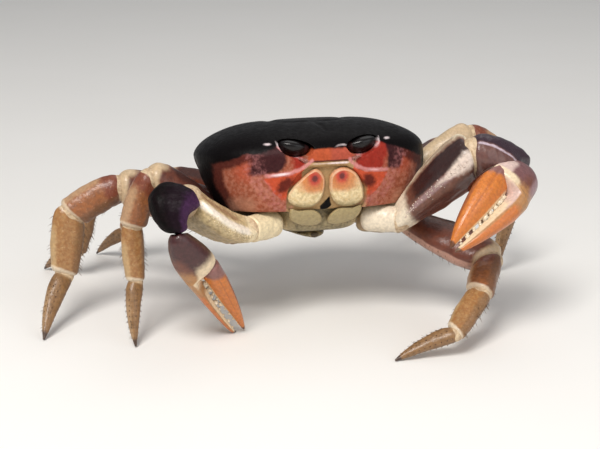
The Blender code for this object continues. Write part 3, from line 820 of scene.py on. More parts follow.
        return {
            "black": black,
            # Painted shade: a dark red-brown band below the black edge on the outer sides, and inside the black band
            # down the sides.
            "rim": np.maximum(smooth(edge - 5.5, edge - 0.5, z) * smooth(22.0, 27.0, ax),
                              smooth(corner - 0.13, corner - 0.02, flank_share)) * wall,
            "shade": 0.8 * smooth(-12.0, 14.0, y),
            "glow": wall * face * hill(np.hypot(ax - 26.5, 0.8 * (z - 5.5)), 4.5),
            "tan": wall * face * smooth(-1.0, -8.0, z) * smooth(36.0, 27.0, ax),
            "under": smooth(-9.5, -13.0, z) * (1.0 - 0.6 * wall),
            "red": np.maximum(orbit, under * left * smooth(24.0, 16.0, ax + 0.25 * (8.0 - z))),
            "plum": face * smooth(1.8, 5.0, z + 0.15 * (ax - 18.0)) * smooth(14.0, 10.5, z - 0.3 * (ax - 17.0))
            * np.where(x > 0.0, smooth(18.6, 21.4, ax + 0.2 * (z - 6.0)) * smooth(27.4, 24.0, ax),
                       smooth(12.5, 17.0, ax) * smooth(28.5, 23.0, ax)),
            "orange": self.triangle(ax, z) * face,
            "front": face * lip * smooth(11.9, 10.4, z),
            "blush": face * lip * left,
            "spot": face * np.maximum(hill(slant, 2.7), hill(z - 6.5, 0.35) * smooth(8.0, 7.0, ax)),
            "olive": face * np.maximum(smooth(9.0, 7.6, ax) * smooth(6.6, 6.2, z) * smooth(-3.0, 1.5, z),
                                       smooth(1.0, -4.0, z - 0.25 * (12.0 - ax)) * smooth(14.6, 12.2, ax)),
            "pink": face * np.maximum.reduce([0.85 * hill(ridge, 0.8) * smooth(24.0, 19.0, ax),
                                              0.36 * hill(flank - 0.8, 3.0), 0.8 * hill(rim, 0.5)]),
            # The pale spots, the orbit rims, the knobs and the ridge are the shell's own pale marks; the arc across
            # the top of the front on the crab's left is a painted sheen, and the line under the front is a pale rim
            # brightened into a painted highlight.
            "pale": face * np.maximum.reduce([0.75 * hill(np.hypot((ax - 20.2) * 0.55, (z - 12.6) * 1.5), 0.75),
                                              0.5 * hill(rim, 0.3),
                                              0.6 * hill(np.hypot(ax - 16.9, (z - 12.3) * 0.7), 0.7),
                                              0.9 * hill(ridge, 0.5) * hill(ax - 15.5, 3.4) * (1.0 - 0.5 * left),
                                              0.5 * left * hill(z - 11.5 + 0.10 * (x - 4.0) ** 2, 0.5)
                                              * hill(x - 4.0, 3.6),
                                              (0.5 + 0.35 * left) * hill(z - 5.75, 0.36) * smooth(7.4, 5.2, ax)]),
        }

    def sternum(self) -> Shape:
        """The plate between the legs, with a suture for each pair."""
        directions, quads = ball_net(48)
        size = (np.abs(directions) ** 3.8).sum(axis=1) ** (-1.0 / 3.8)
        p = np.array((0.0, -0.6, -12.0)) + directions * size[:, None] * np.array((14.4, 19.8, 6.8))
        x, y, _ = p.T
        sutures = np.minimum.reduce([np.abs(y - level + 0.12 * np.abs(x)) for level in (-10.5, -4.0, 4.0, 12.0)])
        under = smooth(0.3, -0.4, directions[:, 2])
        p[:, 2] += 0.5 * hill(sutures, 0.5) * under * smooth(2.0, 5.0, np.abs(x))
        masks = {"groove": 0.8 * hill(sutures, 0.5) * under, "cream": smooth(6.0, 14.0, np.abs(x))}
        points = STAND.from_body(p)
        points[:, 2] = np.minimum(points[:, 2], self.shell_edge - self.edge_rise * points[:, 1] - 0.3)
        return Shape(points, quads, NO_TRIANGLES, masks).outward()

    def abdomen(self) -> Shape:
        """The tail flap, seven rings long, folded under the body."""
        stations = ((0.0, 27.2, -7.4, 9.5), (0.14, 25.8, -12.0, 10.0), (0.3, 22.6, -17.0, 9.6),
                    (0.46, 16.5, -20.6, 8.6), (0.66, 8.0, -21.0, 6.6), (0.86, -1.0, -21.0, 4.6),
                    (1.0, -7.5, -20.8, 2.4))
        share = np.linspace(0.0, 1.0, 120)
        y, z, half = curve_through(stations, share)
        half = half * np.sqrt(1.0 - smooth(0.94, 1.0, share) * 0.8)
        run = unit(np.stack([np.zeros_like(y), np.gradient(y), np.gradient(z)], axis=1))
        out = np.cross(run, np.array((1.0, 0.0, 0.0)))
        ring = (share * 7.0) % 1.0
        step = 0.28 * smooth(0.0, 0.25, ring) - 0.28 * smooth(0.9, 1.0, ring)
        angle = angles_round(48)
        swell = (0.75 + step)[:, None] * np.sin(angle)
        points = (np.stack([np.zeros_like(y), y, z], axis=1)[:, None]
                  + np.array((1.0, 0.0, 0.0)) * (half[:, None] * np.cos(angle))[..., None]
                  + out[:, None] * swell[..., None])
        masks = {"groove": np.broadcast_to((smooth(0.84, 0.95, ring) + smooth(0.12, 0.0, ring))[:, None],
                                           swell.shape) * 0.8}
        shape = tube_shape(points, masks)
        shape.points = STAND.from_body(shape.points)
        return shape

    def build(self) -> None:
        """Make the body's pieces."""
        add_piece("carapace_shell", self.carapace(), CARAPACE_FINISH, ("carapace",))
        add_piece("sternum_plate", self.sternum(), UNDERSIDE_FINISH, ("sternum",))
        add_piece("abdomen_flap", self.abdomen(), UNDERSIDE_FINISH, ("abdomen",))


@dataclass(frozen=True)
class Mouthpart:
    """One plate of the mouth: a low pillow inside a rounded outline of (across, level) corners."""

    name: str
    outline: tuple[tuple[float, float], ...]
    crown: float
    spot: tuple[float, float]

    def border(self, count: int) -> Array:
        """The outline as a smooth closed curve."""
        corners = np.array(self.outline)
        place = np.linspace(0.0, len(corners), count, endpoint=False)
        index, t = place.astype(int), (place % 1.0)[:, None]
        a, b, c, d = (corners[(index + step) % len(corners)] for step in (-1, 0, 1, 2))
        return 0.5 * (2 * b + (c - a) * t + (2 * a - 5 * b + 4 * c - d) * t ** 2 + (3 * b - a - 3 * c + d) * t ** 3)

    def shape(self, body: Body, side: int) -> Shape:
        """The plate's closed shape on one side, in the standing frame."""
        border = self.border(110)
        middle = border.mean(axis=0)
        reach = np.sin(np.linspace(0.03, 1.0, 34) * math.pi / 2.0)
        share = np.concatenate([reach, reach[::-1][1:]])[:, None]
        front = np.concatenate([np.ones(len(reach)), np.zeros(len(reach) - 1)])[:, None]
        place = middle + (border - middle) * share[..., None]
        x, z = place[..., 0], place[..., 1]
        swell = np.maximum(1.0 - share ** 3.4, 0.0) ** 0.5
        lift = self.crown * swell + 0.14 * hill(share - 0.86, 0.05) - 0.25 * hill(share - 0.97, 0.03)
        y = body.front_wall(x, z) + 0.75 - lift * front + 2.6 * swell * (1.0 - front)
        far = np.hypot(x - self.spot[0], (z - self.spot[1]) * 0.9)
        masks = {"spot": hill(far, 1.15), "ring": hill(far, 2.6), "blush": hill(far, 6.6) * smooth(-6.5, -2.0, z),
                 # Painted shade: darker in the groove round each plate's edge and on its back.
                 "groove": np.broadcast_to(smooth(0.95, 1.0, share), x.shape) + (1.0 - front) * np.ones_like(x),
                 "edge": np.broadcast_to(hill(share - 0.9, 0.07), x.shape) * smooth(-6.0, -2.0, z),
                 "olive": smooth(-5.0, -10.0, z)}
        shape = tube_shape(np.stack([side * x, y, z], axis=-1), masks)
        shape.points = STAND.from_body(shape.points)
        return shape


UPRIGHT_PLATE = ((1.0, 1.9), (3.2, 3.8), (6.2, 4.1), (9.4, 2.4), (11.5, -1.0), (12.5, -4.6), (12.2, -7.4),
                 (9.3, -9.0), (5.4, -9.0), (2.5, -7.2), (0.9, -3.8), (0.6, -0.8))
LEANING_PLATE = ((2.6, 3.7), (4.0, 4.2), (6.2, 3.1), (8.4, 1.3), (11.2, -1.4), (13.2, -4.4), (12.2, -7.0),
                 (8.6, -8.7), (5.0, -8.6), (2.5, -6.8), (1.1, -3.6), (0.75, 0.4), (1.5, 2.4))
ISCHIUM_PLATE = ((3.6, -10.0), (6.0, -9.6), (9.2, -9.7), (11.9, -9.0), (12.3, -10.9), (10.9, -13.6), (7.4, -15.2),
                 (3.6, -15.6), (1.2, -14.6), (1.3, -12.2))


@dataclass(frozen=True)
class Face:
    """The mouth plates, eyes and feelers."""

    body: Body

    def plates(self, side: int) -> tuple[Mouthpart, ...]:
        """The mouth's plates on one side; the right one leans outwards, as it does in life when it is moved."""
        merus = (Mouthpart("merus", UPRIGHT_PLATE, 1.2, (4.7, 1.4)) if side > 0
                 else Mouthpart("merus", LEANING_PLATE, 1.2, (4.4, 1.0)))
        return merus, Mouthpart("ischium", ISCHIUM_PLATE, 0.8, (4.0, 12.0))

    def eye(self, side: int) -> Shape:
        """An eye: a wet black bead on a short stalk that lies in its socket."""
        turn = np.array(Matrix.Rotation(math.radians(-self.body.eye_tilt), 3, "Y"))
        directions, quads = ball_net(28)
        fat = 1.0 - 0.12 * smooth(0.1, -0.9, directions[:, 0])
        local = directions * np.array(self.body.eye_radii)
        local[:, 1:] *= fat[:, None]
        local[:, 2] *= np.where(local[:, 2] > 0.0, self.body.brow, 1.0)
        p = Stand.EYE + np.array(self.body.eye_raise) + np.array((0.0, 0.95, -0.15)) + local @ turn.T
        p[:, 0] = side * p[:, 0] + self.body.front_turn
        return Shape(STAND.from_body(p), quads, NO_TRIANGLES,
                     {"stalk": smooth(-0.45, -0.75, directions[:, 0])}).outward()

    def feeler(self, side: int, stations: Sequence[Station]) -> Shape:
        """A short jointed feeler.

        Args:
            side: +1 on the left, -1 on the right.
            stations: Rows of share, place across, distance ahead of the face, level, thickness.

        Returns:
            Its shape.
        """
        share = np.linspace(0.0, 1.0, 60)
        x, ahead, level, half = curve_through(stations, share)
        half = half * (1.0 + 0.12 * np.cos(share * math.tau * 7.0)) * np.sqrt(1.0 - smooth(0.93, 1.0, share) * 0.9)
        path = np.stack([x, self.body.front_wall(x, level) - ahead, level], axis=1)
        run = unit(np.gradient(path, axis=0))
        side_way = unit(np.cross(run, np.array((0.0, 1.0, 0.0))))
        up = np.cross(side_way, run)
        angle = angles_round(16)
        rings = (path[:, None] + side_way[:, None] * (half[:, None] * np.cos(angle))[..., None]
                 + up[:, None] * (half[:, None] * np.sin(angle))[..., None])
        rings[..., 0] = side * rings[..., 0] + 0.6 * self.body.front_turn
        shape = tube_shape(rings, {"joint": np.broadcast_to((0.5 + 0.5 * np.cos(share * math.tau * 7.0))[:, None],
                                                            rings.shape[:2])})
        shape.points = STAND.from_body(shape.points)
        return shape

    def build(self) -> None:
        """Make the face's pieces on both sides."""
        antenna = ((0.0, 7.9, -0.4, 6.9, 0.75), (0.3, 8.6, 0.2, 7.1, 0.65), (0.6, 9.3, 0.5, 7.4, 0.4),
                   (1.0, 10.4, 0.6, 7.9, 0.2))
        antennule = ((0.0, 2.8, -1.2, 5.2, 0.6), (0.5, 4.6, -0.9, 5.3, 0.6), (1.0, 6.6, -0.9, 5.6, 0.4))
        feeler_finish = ShellFinish("feeler_shell", srgb(104, 48, 42), srgb(70, 32, 32),
                                    (Tint("joint", srgb(196, 130, 112), 0.6),), mottle_size=0.8)
        for name, side in SIDES.items():
            add_piece(f"eye_{name}_bead", self.eye(side), EyeFinish(), (f"eye_{name}",))
            for plate in self.plates(side):
                add_piece(f"mouth_{plate.name}_{name}", plate.shape(self.body, side), MOUTH_FINISH,
                          (f"maxilliped_{name}",))
            add_piece(f"antenna_{name}_feeler", self.feeler(side, antenna), feeler_finish,
                      (f"antenna_{name}",))
            add_piece(f"antennule_{name}", self.feeler(side, antennule), feeler_finish)


# ---- limbs ---------------------------------------------------------------------------------------

CLEAR = 0.15                                # half of the gap between two parts of a limb
FINGER_CLEAR = 1.0                          # how far a movable finger stays from the wrist's plane, inside the palm
KNEE_REACH = 0.5                            # how far a bent joint's outer side reaches, as a share of the section
CLAW_FLOOR = 0.4                            # how far a claw stays above the floor
KNEE_SIZE = 0.93                            # a knee's size, as a share of the parts that it joins
KNEE_FACETS = 14
MaskRule = Callable[[Array, Array, Array], dict[str, Array]]


def heading(side: int, bearing: float, slope: float) -> Array:
    """The unit vector of a bearing and a slope in degrees, on one side of the crab."""
    b, s = math.radians(bearing), math.radians(slope)
    return np.array((side * math.cos(s) * math.cos(b), -math.cos(s) * math.sin(b), math.sin(s)))


def mirrored(point: Sequence[float], side: int) -> Array:
    """A point of the left side, or its mirror image on the right."""
    return np.array((side * point[0], point[1], point[2]))


def turned(vector: Array, axis: Array, degrees: float) -> Array:
    """A vector turned about an axis."""
    return np.array(Matrix.Rotation(math.radians(degrees), 3, Vector(axis)) @ Vector(vector))


def bounded(value: Array, most: Array) -> Array:
    """A value kept softly between -most and most."""
    return most * np.tanh(value / most)


class Outline(Enum):
    """The section of a limb part."""

    OVAL = "oval"
    THREE_EDGED = "three_edged"
    ROUNDED = "rounded"

    def radius(self, angle: Array) -> Array:
        """The section's radius at an angle from its upper edge, as a share of its half-height."""
        if self is Outline.THREE_EDGED:
            return 1.0 - 0.13 * np.sin(3.0 * angle) - 0.02 * np.sin(9.0 * angle)
        if self is Outline.ROUNDED:
            return 1.0 - 0.05 * np.sin(3.0 * angle)
        oval = (np.abs(np.cos(angle)) ** 2.3 + np.abs(np.sin(angle)) ** 2.3) ** (-1.0 / 2.3)
        return oval + 0.05 * hill(np.sin(0.5 * angle), 0.16) + 0.03 * hill(np.cos(0.5 * angle), 0.16)


@dataclass
class Segment:
    """A part of a limb between two joints: a narrow neck, a full middle and a lip round the next neck."""

    start: Array
    end: Array
    plane_a: Array
    plane_b: Array
    up: Array
    across: Array
    stations: tuple[Station, ...]
    size: float
    outline: Outline
    neck: float = 1.6                       # how far the neck reaches into the part before
    pointed: bool = False
    bow: Array | None = None                # how far the middle stands off the straight line

    def swell(self, share: Array) -> Array:
        """The thickness along the part, as a share of its stations'."""
        shoulder = np.clip((share - 0.01) / 0.17, 0.0, 1.0)
        thick = 0.64 + 0.36 * np.sqrt(1.0 - (1.0 - shoulder) ** 2)
        if self.pointed:
            return thick
        turn_in = np.clip((share - 0.93) / 0.07, 0.0, 1.0)
        lip = 1.0 + 0.025 * hill(share - 0.91, 0.03)
        return thick * lip * (1.0 - 0.6 * (1.0 - np.sqrt(1.0 - 0.999 * turn_in ** 2)))

    def unevenness(self, share: Array, angle: Array) -> Array:
        """The slight hand-made swellings of a grown shell, as a share of its thickness."""
        phase = float(self.start.sum())
        waves = (0.020 * np.sin(7.3 * share + phase) * np.cos(2.0 * angle + 3.1 * share + phase)
                 + 0.013 * np.sin(16.0 * share + 3.0 * angle + 2.0 * phase)
                 + 0.007 * np.sin(37.0 * share - 5.0 * angle + phase))
        return waves * smooth(0.0, 0.2, share) * smooth(1.0, 0.85, share)

    def point(self, share: Array, angle: Array, proud: float = 0.0) -> Array:
        """Points of the surface.

        Args:
            share: Shares of the length, as a column.
            angle: Angles round the section, as a row.
            proud: How far above the surface.

        Returns:
            The points, one row of them for each share.
        """
        run = unit(self.end - self.start)
        length = np.linalg.norm(self.end - self.start)
        high, wide = (value * self.size for value in curve_through(self.stations, share))
        thick = self.swell(share) * self.outline.radius(angle) * (1.0 + self.unevenness(share, angle))
        offset = (self.up * ((high * thick + proud) * np.cos(angle))[..., None]
                  + self.across * ((wide * thick + proud) * np.sin(angle))[..., None])
        square_a, square_b = run @ self.plane_a, run @ self.plane_b
        first = CLEAR / square_a - bounded(offset @ self.plane_a / square_a, KNEE_REACH * high) - self.neck
        last = length - CLEAR / square_b - bounded(offset @ self.plane_b / square_b, KNEE_REACH * high)
        place = self.start + offset + run * (first + (last - first) * share)[..., None]
        if self.bow is not None:
            place = place + self.bow * (4.0 * share * (1.0 - share))[..., None]
        place[..., 2] = np.maximum(place[..., 2], 0.0)
        return place

    def shape(self, count: int, sides: int, masks: MaskRule) -> Shape:
        """The part's closed shape.

        Args:
            count: Rings along it.
            sides: Points round it.
            masks: Gives the masks at shares, angles and the ways out from the middle.

        Returns:
            The shape.
        """
        even = np.linspace(0.0, 1.0, count)
        share = (0.6 * (0.5 - 0.5 * np.cos(even * math.pi)) + 0.4 * even)[:, None]
        angle = angles_round(sides)[None]
        out = self.up * np.cos(angle)[..., None] + self.across * np.sin(angle)[..., None]
        return tube_shape(self.point(share, angle), masks(share, angle, out))

    def strewn(self, draw: np.random.Generator, count: int, degrees: float, spread: float) -> tuple[Array, Array]:
        """Places strewn along an edge, and the ways out of the shell there.

        Args:
            draw: Where the random numbers come from.
            count: How many places.
            degrees: The edge's angle from the upper edge.
            spread: How far they stray from it, in degrees.

        Returns:
            The places and the ways.
        """
        share = draw.uniform(0.14, 0.92, (count, 1))
        angle = np.radians(degrees + draw.normal(0.0, spread, (count, 1)))
        feet = self.point(share, angle)[:, 0]
        return feet, unit(feet - self.point(share, angle, -1.0)[:, 0])

    def knee(self, following: "Segment") -> Shape:
        """The rounded joint between this part and the next one."""
        high = 0.49 * (self.stations[-1][1] * self.size + following.stations[1][1] * following.size)
        wide = 0.49 * (self.stations[-1][2] * self.size + following.stations[1][2] * following.size)
        run = following.plane_a
        across = unit(following.across - run * (following.across @ run))
        turn = np.stack([across, np.cross(run, across), run], axis=1)
        return ellipsoid(following.start, KNEE_SIZE * np.array((wide, high, high)), turn, KNEE_FACETS)


def across_frame(run: Array, normal: Array, roll: float) -> tuple[Array, Array]:
    """The up and across directions of a part that stands in the plane with this normal, then rolled."""
    up = unit(np.cross(normal, run))
    if up[2] < 0.0:
        up = -up
    up = turned(up, run, roll)
    return up, np.cross(run, up)


def chain_segments(points: Sequence[Array], root: Array, normal: Array, shapes: dict[str, tuple[Station, ...]],
                   size: float, outline: Outline, roll: float = 0.0) -> dict[str, Segment]:
    """The parts of a limb, from its base outwards.

    Args:
        points: The joints, from the base on.
        root: Where the limb leaves the body.
        normal: The normal of the plane that the limb bends in.
        shapes: Stations by part name.
        size: The section's size.
        outline: The section.
        roll: Turn of the parts about their own length.

    Returns:
        The parts by name.
    """
    chain = [root, *points]
    made = {}
    for number, (kind, stations) in enumerate(shapes.items()):
        start, end = chain[number + 1], chain[number + 2]
        run = unit(end - start)
        before = unit(start - chain[number])
        after = unit(chain[number + 3] - end) if number + 3 < len(chain) else run
        made[kind] = Segment(start, end, unit(before + run), unit(run + after), *across_frame(run, normal, roll),
                             stations, size, outline, pointed=kind == "dactyl")
    return made


def root_segment(root: Array, base: Array, high: float, wide: float, size: float) -> Segment:
    """The short root of a limb, between the sternum and the first long part."""
    run = unit(base - root)
    up, across = across_frame(run, unit(np.cross(run, np.array((0.0, 0.0, 1.0)))), 0.0)
    stations = tuple((place, share * high, share * wide)
                     for place, share in ((0.0, 1.0), (0.3, 1.04), (0.8, 1.0), (1.0, 0.96)))
    return Segment(root, base + run * 0.5, run, run, up, across, stations, size, Outline.OVAL, neck=1.0)


MERUS_FINISH = ShellFinish(
    "leg_merus_shell", srgb(108, 56, 38), srgb(78, 38, 29),
    # upper: painted shade, the dark top of each merus where the body shades it.
    (Tint("upper", srgb(58, 32, 28), 0.85), Tint("root", srgb(168, 144, 108), 0.85),
     Tint("lower_edge", srgb(190, 146, 128), 0.8), Tint("joint", srgb(204, 178, 142), 0.9)),
    fleck=srgb(150, 96, 74), fleck_share=0.25, gloss=0.15)
# In these leg finishes the pale streak along the top of a part is a painted highlight, and the darker underside is
# painted shade.
CARPUS_FINISH = ShellFinish(
    "leg_carpus_shell", srgb(150, 92, 52), srgb(126, 78, 48),
    (Tint("knee_red", srgb(118, 58, 42), 0.85, 0.6), Tint("streak", srgb(196, 164, 128), 0.6, 0.8),
     Tint("low", srgb(112, 78, 52), 0.75), Tint("joint", srgb(212, 190, 162), 0.9, 0.5)),
    mottle_size=1.3, mottle_share=0.7, fleck=srgb(208, 172, 134), fleck_share=0.4, gloss=0.12)
PROPODUS_FINISH = ShellFinish(
    "leg_propodus_shell", srgb(152, 104, 58), srgb(176, 138, 90),
    (Tint("streak", srgb(200, 170, 124), 0.6, 0.8), Tint("low", srgb(126, 92, 60), 0.7),
     Tint("joint", srgb(222, 204, 178), 0.9, 0.5)),
    mottle_size=1.2, mottle_share=0.5, fleck=srgb(216, 190, 150), fleck_share=0.4, gloss=0.15)
DACTYL_FINISH = ShellFinish(
    "leg_dactyl_shell", srgb(140, 104, 66), srgb(116, 84, 54),
    (Tint("joint", srgb(206, 180, 146), 0.9), Tint("streak", srgb(182, 150, 114), 0.6),
     Tint("tip", srgb(54, 34, 26), 0.9)),
    mottle_size=1.5, fleck=srgb(190, 160, 124), fleck_share=0.35, gloss=0.15)
KNEE_FINISH = ShellFinish(
    "joint_skin", srgb(206, 182, 148), srgb(158, 122, 92), roughness=0.5, gloss=0.05, mottle_size=1.2)
SPINE_FINISH = ShellFinish(
    "spine_horn", srgb(96, 62, 40), srgb(66, 42, 28), roughness=0.35, mottle_size=0.8, grain=0.0, bumps=0.0)
BRISTLE_FINISH = ShellFinish(
    "bristle_hair", srgb(92, 66, 40), srgb(120, 88, 52), roughness=0.6, mottle_size=0.8, grain=0.0, bumps=0.0)


@dataclass(frozen=True)
class LegPlan:
    """Where a walking leg leaves the body and how long its parts are."""

    root: Station
    base: Station
    lengths: Station
    size: float


LEG_PLANS = {
    2: LegPlan((16.0, -8.6, 32.0), (30.5, -12.3, 31.2), (35.0, 16.5, 18.5, 21.0), 1.0),
    3: LegPlan((16.0, 0.0, 32.2), (26.5, 0.0, 32.6), (41.0, 18.0, 21.0, 24.5), 1.0),
    4: LegPlan((15.6, 8.6, 32.2), (25.0, 11.0, 33.0), (39.0, 18.0, 19.5, 20.5), 0.95),
    5: LegPlan((13.0, 15.8, 32.4), (19.0, 21.0, 33.6), (33.0, 15.5, 18.0, 18.5), 0.82),
}
LEG_BENDS = {
    ("left", 2): ((46, -14), (122, -24), (138, -28), (178, 0)),
    ("left", 3): ((-10, 33), (-17, -36), (-27, -72), (-166, 0)),
    ("left", 4): ((-25, 18), (-27, -21), (-39, -74), (-53, 0)),
    ("left", 5): ((-46, 15), (-42, -34), (-51, -71), (-59, 0)),
    ("right", 2): ((15, 38), (2, -69), (95, -83), (80, 0)),
    ("right", 3): ((0, 18), (3, -26), (30, -80), (62, 0)),
    ("right", 4): ((-29, 5), (-32, -22), (-38, -74), (-48, 0)),
    ("right", 5): ((-43, 2), (-42, -27), (-51, -67), (-45, 0)),
}
LEG_SHAPES = {
    "merus": ((0.0, 4.0, 3.5), (0.12, 4.6, 3.9), (0.32, 5.9, 4.2), (0.55, 7.0, 4.6), (0.8, 7.0, 4.7),
              (0.93, 6.0, 4.4), (1.0, 5.0, 3.8)),
    "carpus": ((0.0, 3.8, 3.2), (0.15, 4.4, 3.7), (0.55, 5.0, 4.1), (0.86, 4.9, 3.9), (1.0, 4.3, 3.5)),
    "propodus": ((0.0, 4.0, 2.9), (0.15, 4.5, 3.0), (0.5, 4.6, 2.9), (0.85, 4.0, 2.6), (1.0, 3.4, 2.4)),
    "dactyl": ((0.0, 2.9, 2.3), (0.15, 3.1, 2.3), (0.5, 2.4, 1.9), (0.8, 1.4, 1.2), (1.0, 0.3, 0.3)),
}
LEG_BREADTHS = {("right", 2): 0.8, ("left", 2): 0.88, ("right", 3): 1.15}
LEG_BOWS = {"merus": 0.8, "carpus": 0.7, "propodus": 0.3, "dactyl": 0.9}
LEG_FINISHES = {"merus": MERUS_FINISH, "carpus": CARPUS_FINISH, "propodus": PROPODUS_FINISH, "dactyl": DACTYL_FINISH}
# rings, and points round
LEG_NETS = {"merus": (84, 56), "carpus": (64, 44), "propodus": (64, 44), "dactyl": (64, 44)}
LEG_ROOT = (4.3, 4.1)                       # half-height and half-width of a leg's root
LEG_SEED = 20
LEG_STUD_SEED = 1
# part, count, the edge's angle, the longest one
BRISTLES = (("merus", 26, 180.0, 1.7), ("carpus", 12, 150.0, 1.6), ("propodus", 26, 180.0, 2.1),
            ("propodus", 18, 20.0, 1.7), ("dactyl", 22, 60.0, 1.3), ("dactyl", 22, -60.0, 1.3))
BRISTLE_FLOOR = 2.4                         # bristles and spines with a foot lower than this are left out
SPINE_FLOOR = 1.6
TIP_HEIGHT = 0.35


@dataclass(frozen=True)
class WalkingLeg:
    """One walking leg, from its short root to its pointed last part."""

    side_name: str
    number: int

    @property
    def name(self) -> str:
        """The leg's name, as its solids have it."""
        return f"leg{self.number}_{self.side_name}"

    def joints(self) -> list[Array]:
        """The leg's joints from its base to its tip on the floor."""
        plan, side = LEG_PLANS[self.number], SIDES[self.side_name]
        points = [mirrored(plan.base, side)]
        bends = LEG_BENDS[(self.side_name, self.number)]
        for length, (bearing, slope) in zip(plan.lengths, bends):
            if len(points) == len(bends):
                slope = -math.degrees(math.asin((points[-1][2] - TIP_HEIGHT) / length))
            points.append(points[-1] + length * heading(side, bearing, slope))
        return points

    def segments(self) -> dict[str, Segment]:
        """The leg's parts, each a little bowed upwards."""
        points = self.joints()
        normal = unit(np.cross(points[1] - points[0], points[-1] - points[1]))
        root = mirrored(LEG_PLANS[self.number].root, SIDES[self.side_name])
        parts = chain_segments(points, root, normal, LEG_SHAPES, LEG_PLANS[self.number].size, Outline.OVAL)
        breadth = LEG_BREADTHS.get((self.side_name, self.number), 1.0)
        for kind, part in parts.items():
            part.bow = part.up * LEG_BOWS[kind]
            if kind in ("carpus", "propodus", "dactyl"):
                share = 0.5 * (1.0 + breadth) if kind != "propodus" else breadth
                part.stations = tuple((place, high * share, wide) for place, high, wide in part.stations)
        return parts

    def masks(self, kind: str) -> MaskRule:
        """How the colours of one part follow its length and its section."""
        def at(share: Array, angle: Array, out: Array) -> dict[str, Array]:
            up = np.cos(angle) * np.ones_like(share)
            near = smooth(0.13, 0.01, share + 0.03 * up) * (kind != "merus")
            far = smooth(0.88, 0.98, share + 0.03 * up) * (kind != "dactyl")
            shown = {"joint": np.maximum(near, far) * np.ones_like(angle),
                     # Painted light: a pale highlight streak along the top, and painted shade on the underside.
                     "streak": 0.85 * hill(up - 0.96, 0.34) * smooth(0.1, 0.5, share), "low": smooth(-0.1, -0.8, up),
                     "knee_red": smooth(0.5, 0.15, share) * np.ones_like(angle)}
            if kind == "merus":
                shown["joint"] = np.maximum(shown["joint"], smooth(0.74, 0.95, share) * smooth(0.3, 0.9, up))
                # Painted shade: the merus is darker on top, where the body shades it.
                shown["upper"] = smooth(0.35, 0.9, up) * smooth(0.9, 0.7, share)
                shown["root"] = smooth(0.26, 0.06, share) * np.ones_like(angle)
                shown["lower_edge"] = smooth(-0.88, -0.99, up)
                if self.name == "leg3_left":
                    shown["joint"] = np.maximum(shown["joint"], smooth(0.25, 0.55, share) * smooth(-0.35, 0.25, up))
            if kind == "dactyl":
                shown["tip"] = smooth(0.86, 0.95, share) * np.ones_like(angle)
            return shown
        return at

    def build(self) -> dict[Stud, tuple[Array, Array, Array]]:
        """Make the leg's pieces.

        Returns:
            The feet, ways and sizes of its spines and bristles.
        """
        parts, plan, side = self.segments(), LEG_PLANS[self.number], SIDES[self.side_name]
        coxa = root_segment(mirrored(plan.root, side), mirrored(plan.base, side), *LEG_ROOT, plan.size)
        add_piece(f"{self.name}_coxa_shell", coxa.shape(40, 40, lambda s, a, o: {"root": np.ones((s.size, a.size))}),
                  MERUS_FINISH, (f"{self.name}_merus",))
        for kind, part in parts.items():
            add_piece(f"{self.name}_{kind}_shell", part.shape(*LEG_NETS[kind], self.masks(kind)), LEG_FINISHES[kind],
                      (f"{self.name}_{kind}",))
        chain = [coxa, *parts.values()]
        add_piece(f"{self.name}_joint_skin", Shape.joined([a.knee(b) for a, b in zip(chain, chain[1:])]), KNEE_FINISH)
        return {Stud.SPINE: self.spines(parts["dactyl"]), Stud.BRISTLE: self.bristles(parts)}

    def bristles(self, parts: dict[str, Segment]) -> tuple[Array, Array, Array]:
        """Sparse short bristles along the edges of the leg's parts."""
        draw = np.random.default_rng(LEG_SEED + self.number + 10 * (self.side_name == "left"))
        feet, ways, sizes = [], [], []
        for kind, count, degrees, longest in BRISTLES:
            foot, way = parts[kind].strewn(draw, count, degrees, 14.0)
            feet.append(foot)
            ways.append(unit(way + 0.9 * unit(parts[kind].end - parts[kind].start)))
            sizes.append(draw.uniform(0.5, 1.0, count) * longest)
        feet, ways, sizes = np.concatenate(feet), np.concatenate(ways), np.concatenate(sizes)
        keep = feet[:, 2] > BRISTLE_FLOOR
        return feet[keep], ways[keep], sizes[keep]

    def spines(self, dactyl: Segment) -> tuple[Array, Array, Array]:
        """Six rows of short spines along the last part."""
        share = np.linspace(0.16, 0.88, 10)[:, None]
        angle = (np.arange(6) + 0.5)[None] * math.tau / 6.0
        feet = dactyl.point(share, angle, -0.05)
        ways = unit(unit(feet - dactyl.point(share, angle, -1.0)) + 1.1 * unit(dactyl.end - dactyl.start))
        sizes = np.broadcast_to(np.interp(share, (0.1, 0.5, 0.9), (0.5, 0.62, 0.4)), feet.shape[:2])
        keep = feet[..., 2] > SPINE_FLOOR
        return feet[keep], ways[keep], sizes[keep] * LEG_PLANS[self.number].size


# ---- claw arms -----------------------------------------------------------------------------------

ARM_ROOT = (15.7, -18.4, 35.2)
ARM_ROOT_SIZE = (4.3, 4.4)
ARM_NET = (120, 90)                         # rings, and points round
HAND_SIDES = 90
GRAIN_DRAW, GRAIN_SEED, TOOTH_SEED = 11, 5, 3
ARM_BASE = (25.4, -25.0, 35.6)
ARM_MERUS = ((0.0, 4.2, 4.2), (0.2, 5.2, 4.7), (0.55, 7.4, 5.6), (0.85, 8.2, 5.9), (1.0, 6.8, 5.2))


@dataclass(frozen=True)
class ArmPlan:
    """One claw arm: parts as (length, bearing, slope), the hand's outline, and its finishes."""

    merus: Station
    carpus: Station
    palm: Station
    fingers: Station
    edge: Station
    roll: float
    stout: float
    size: float
    gape: float
    merus_bow: tuple[float, float, float]   # how far the merus stands off its straight line
    bow: tuple[float, float, float]         # the same for the carpus
    carpus_stations: tuple[Station, ...]
    palm_stations: tuple[Station, ...]      # share along the hand, low edge, high edge, half-thickness
    finger_stations: tuple[Station, ...]    # share along the hand, inner edge, outer edge, half-thickness
    finishes: tuple[ShellFinish, ...]       # of the merus, the carpus, the palm and the movable finger


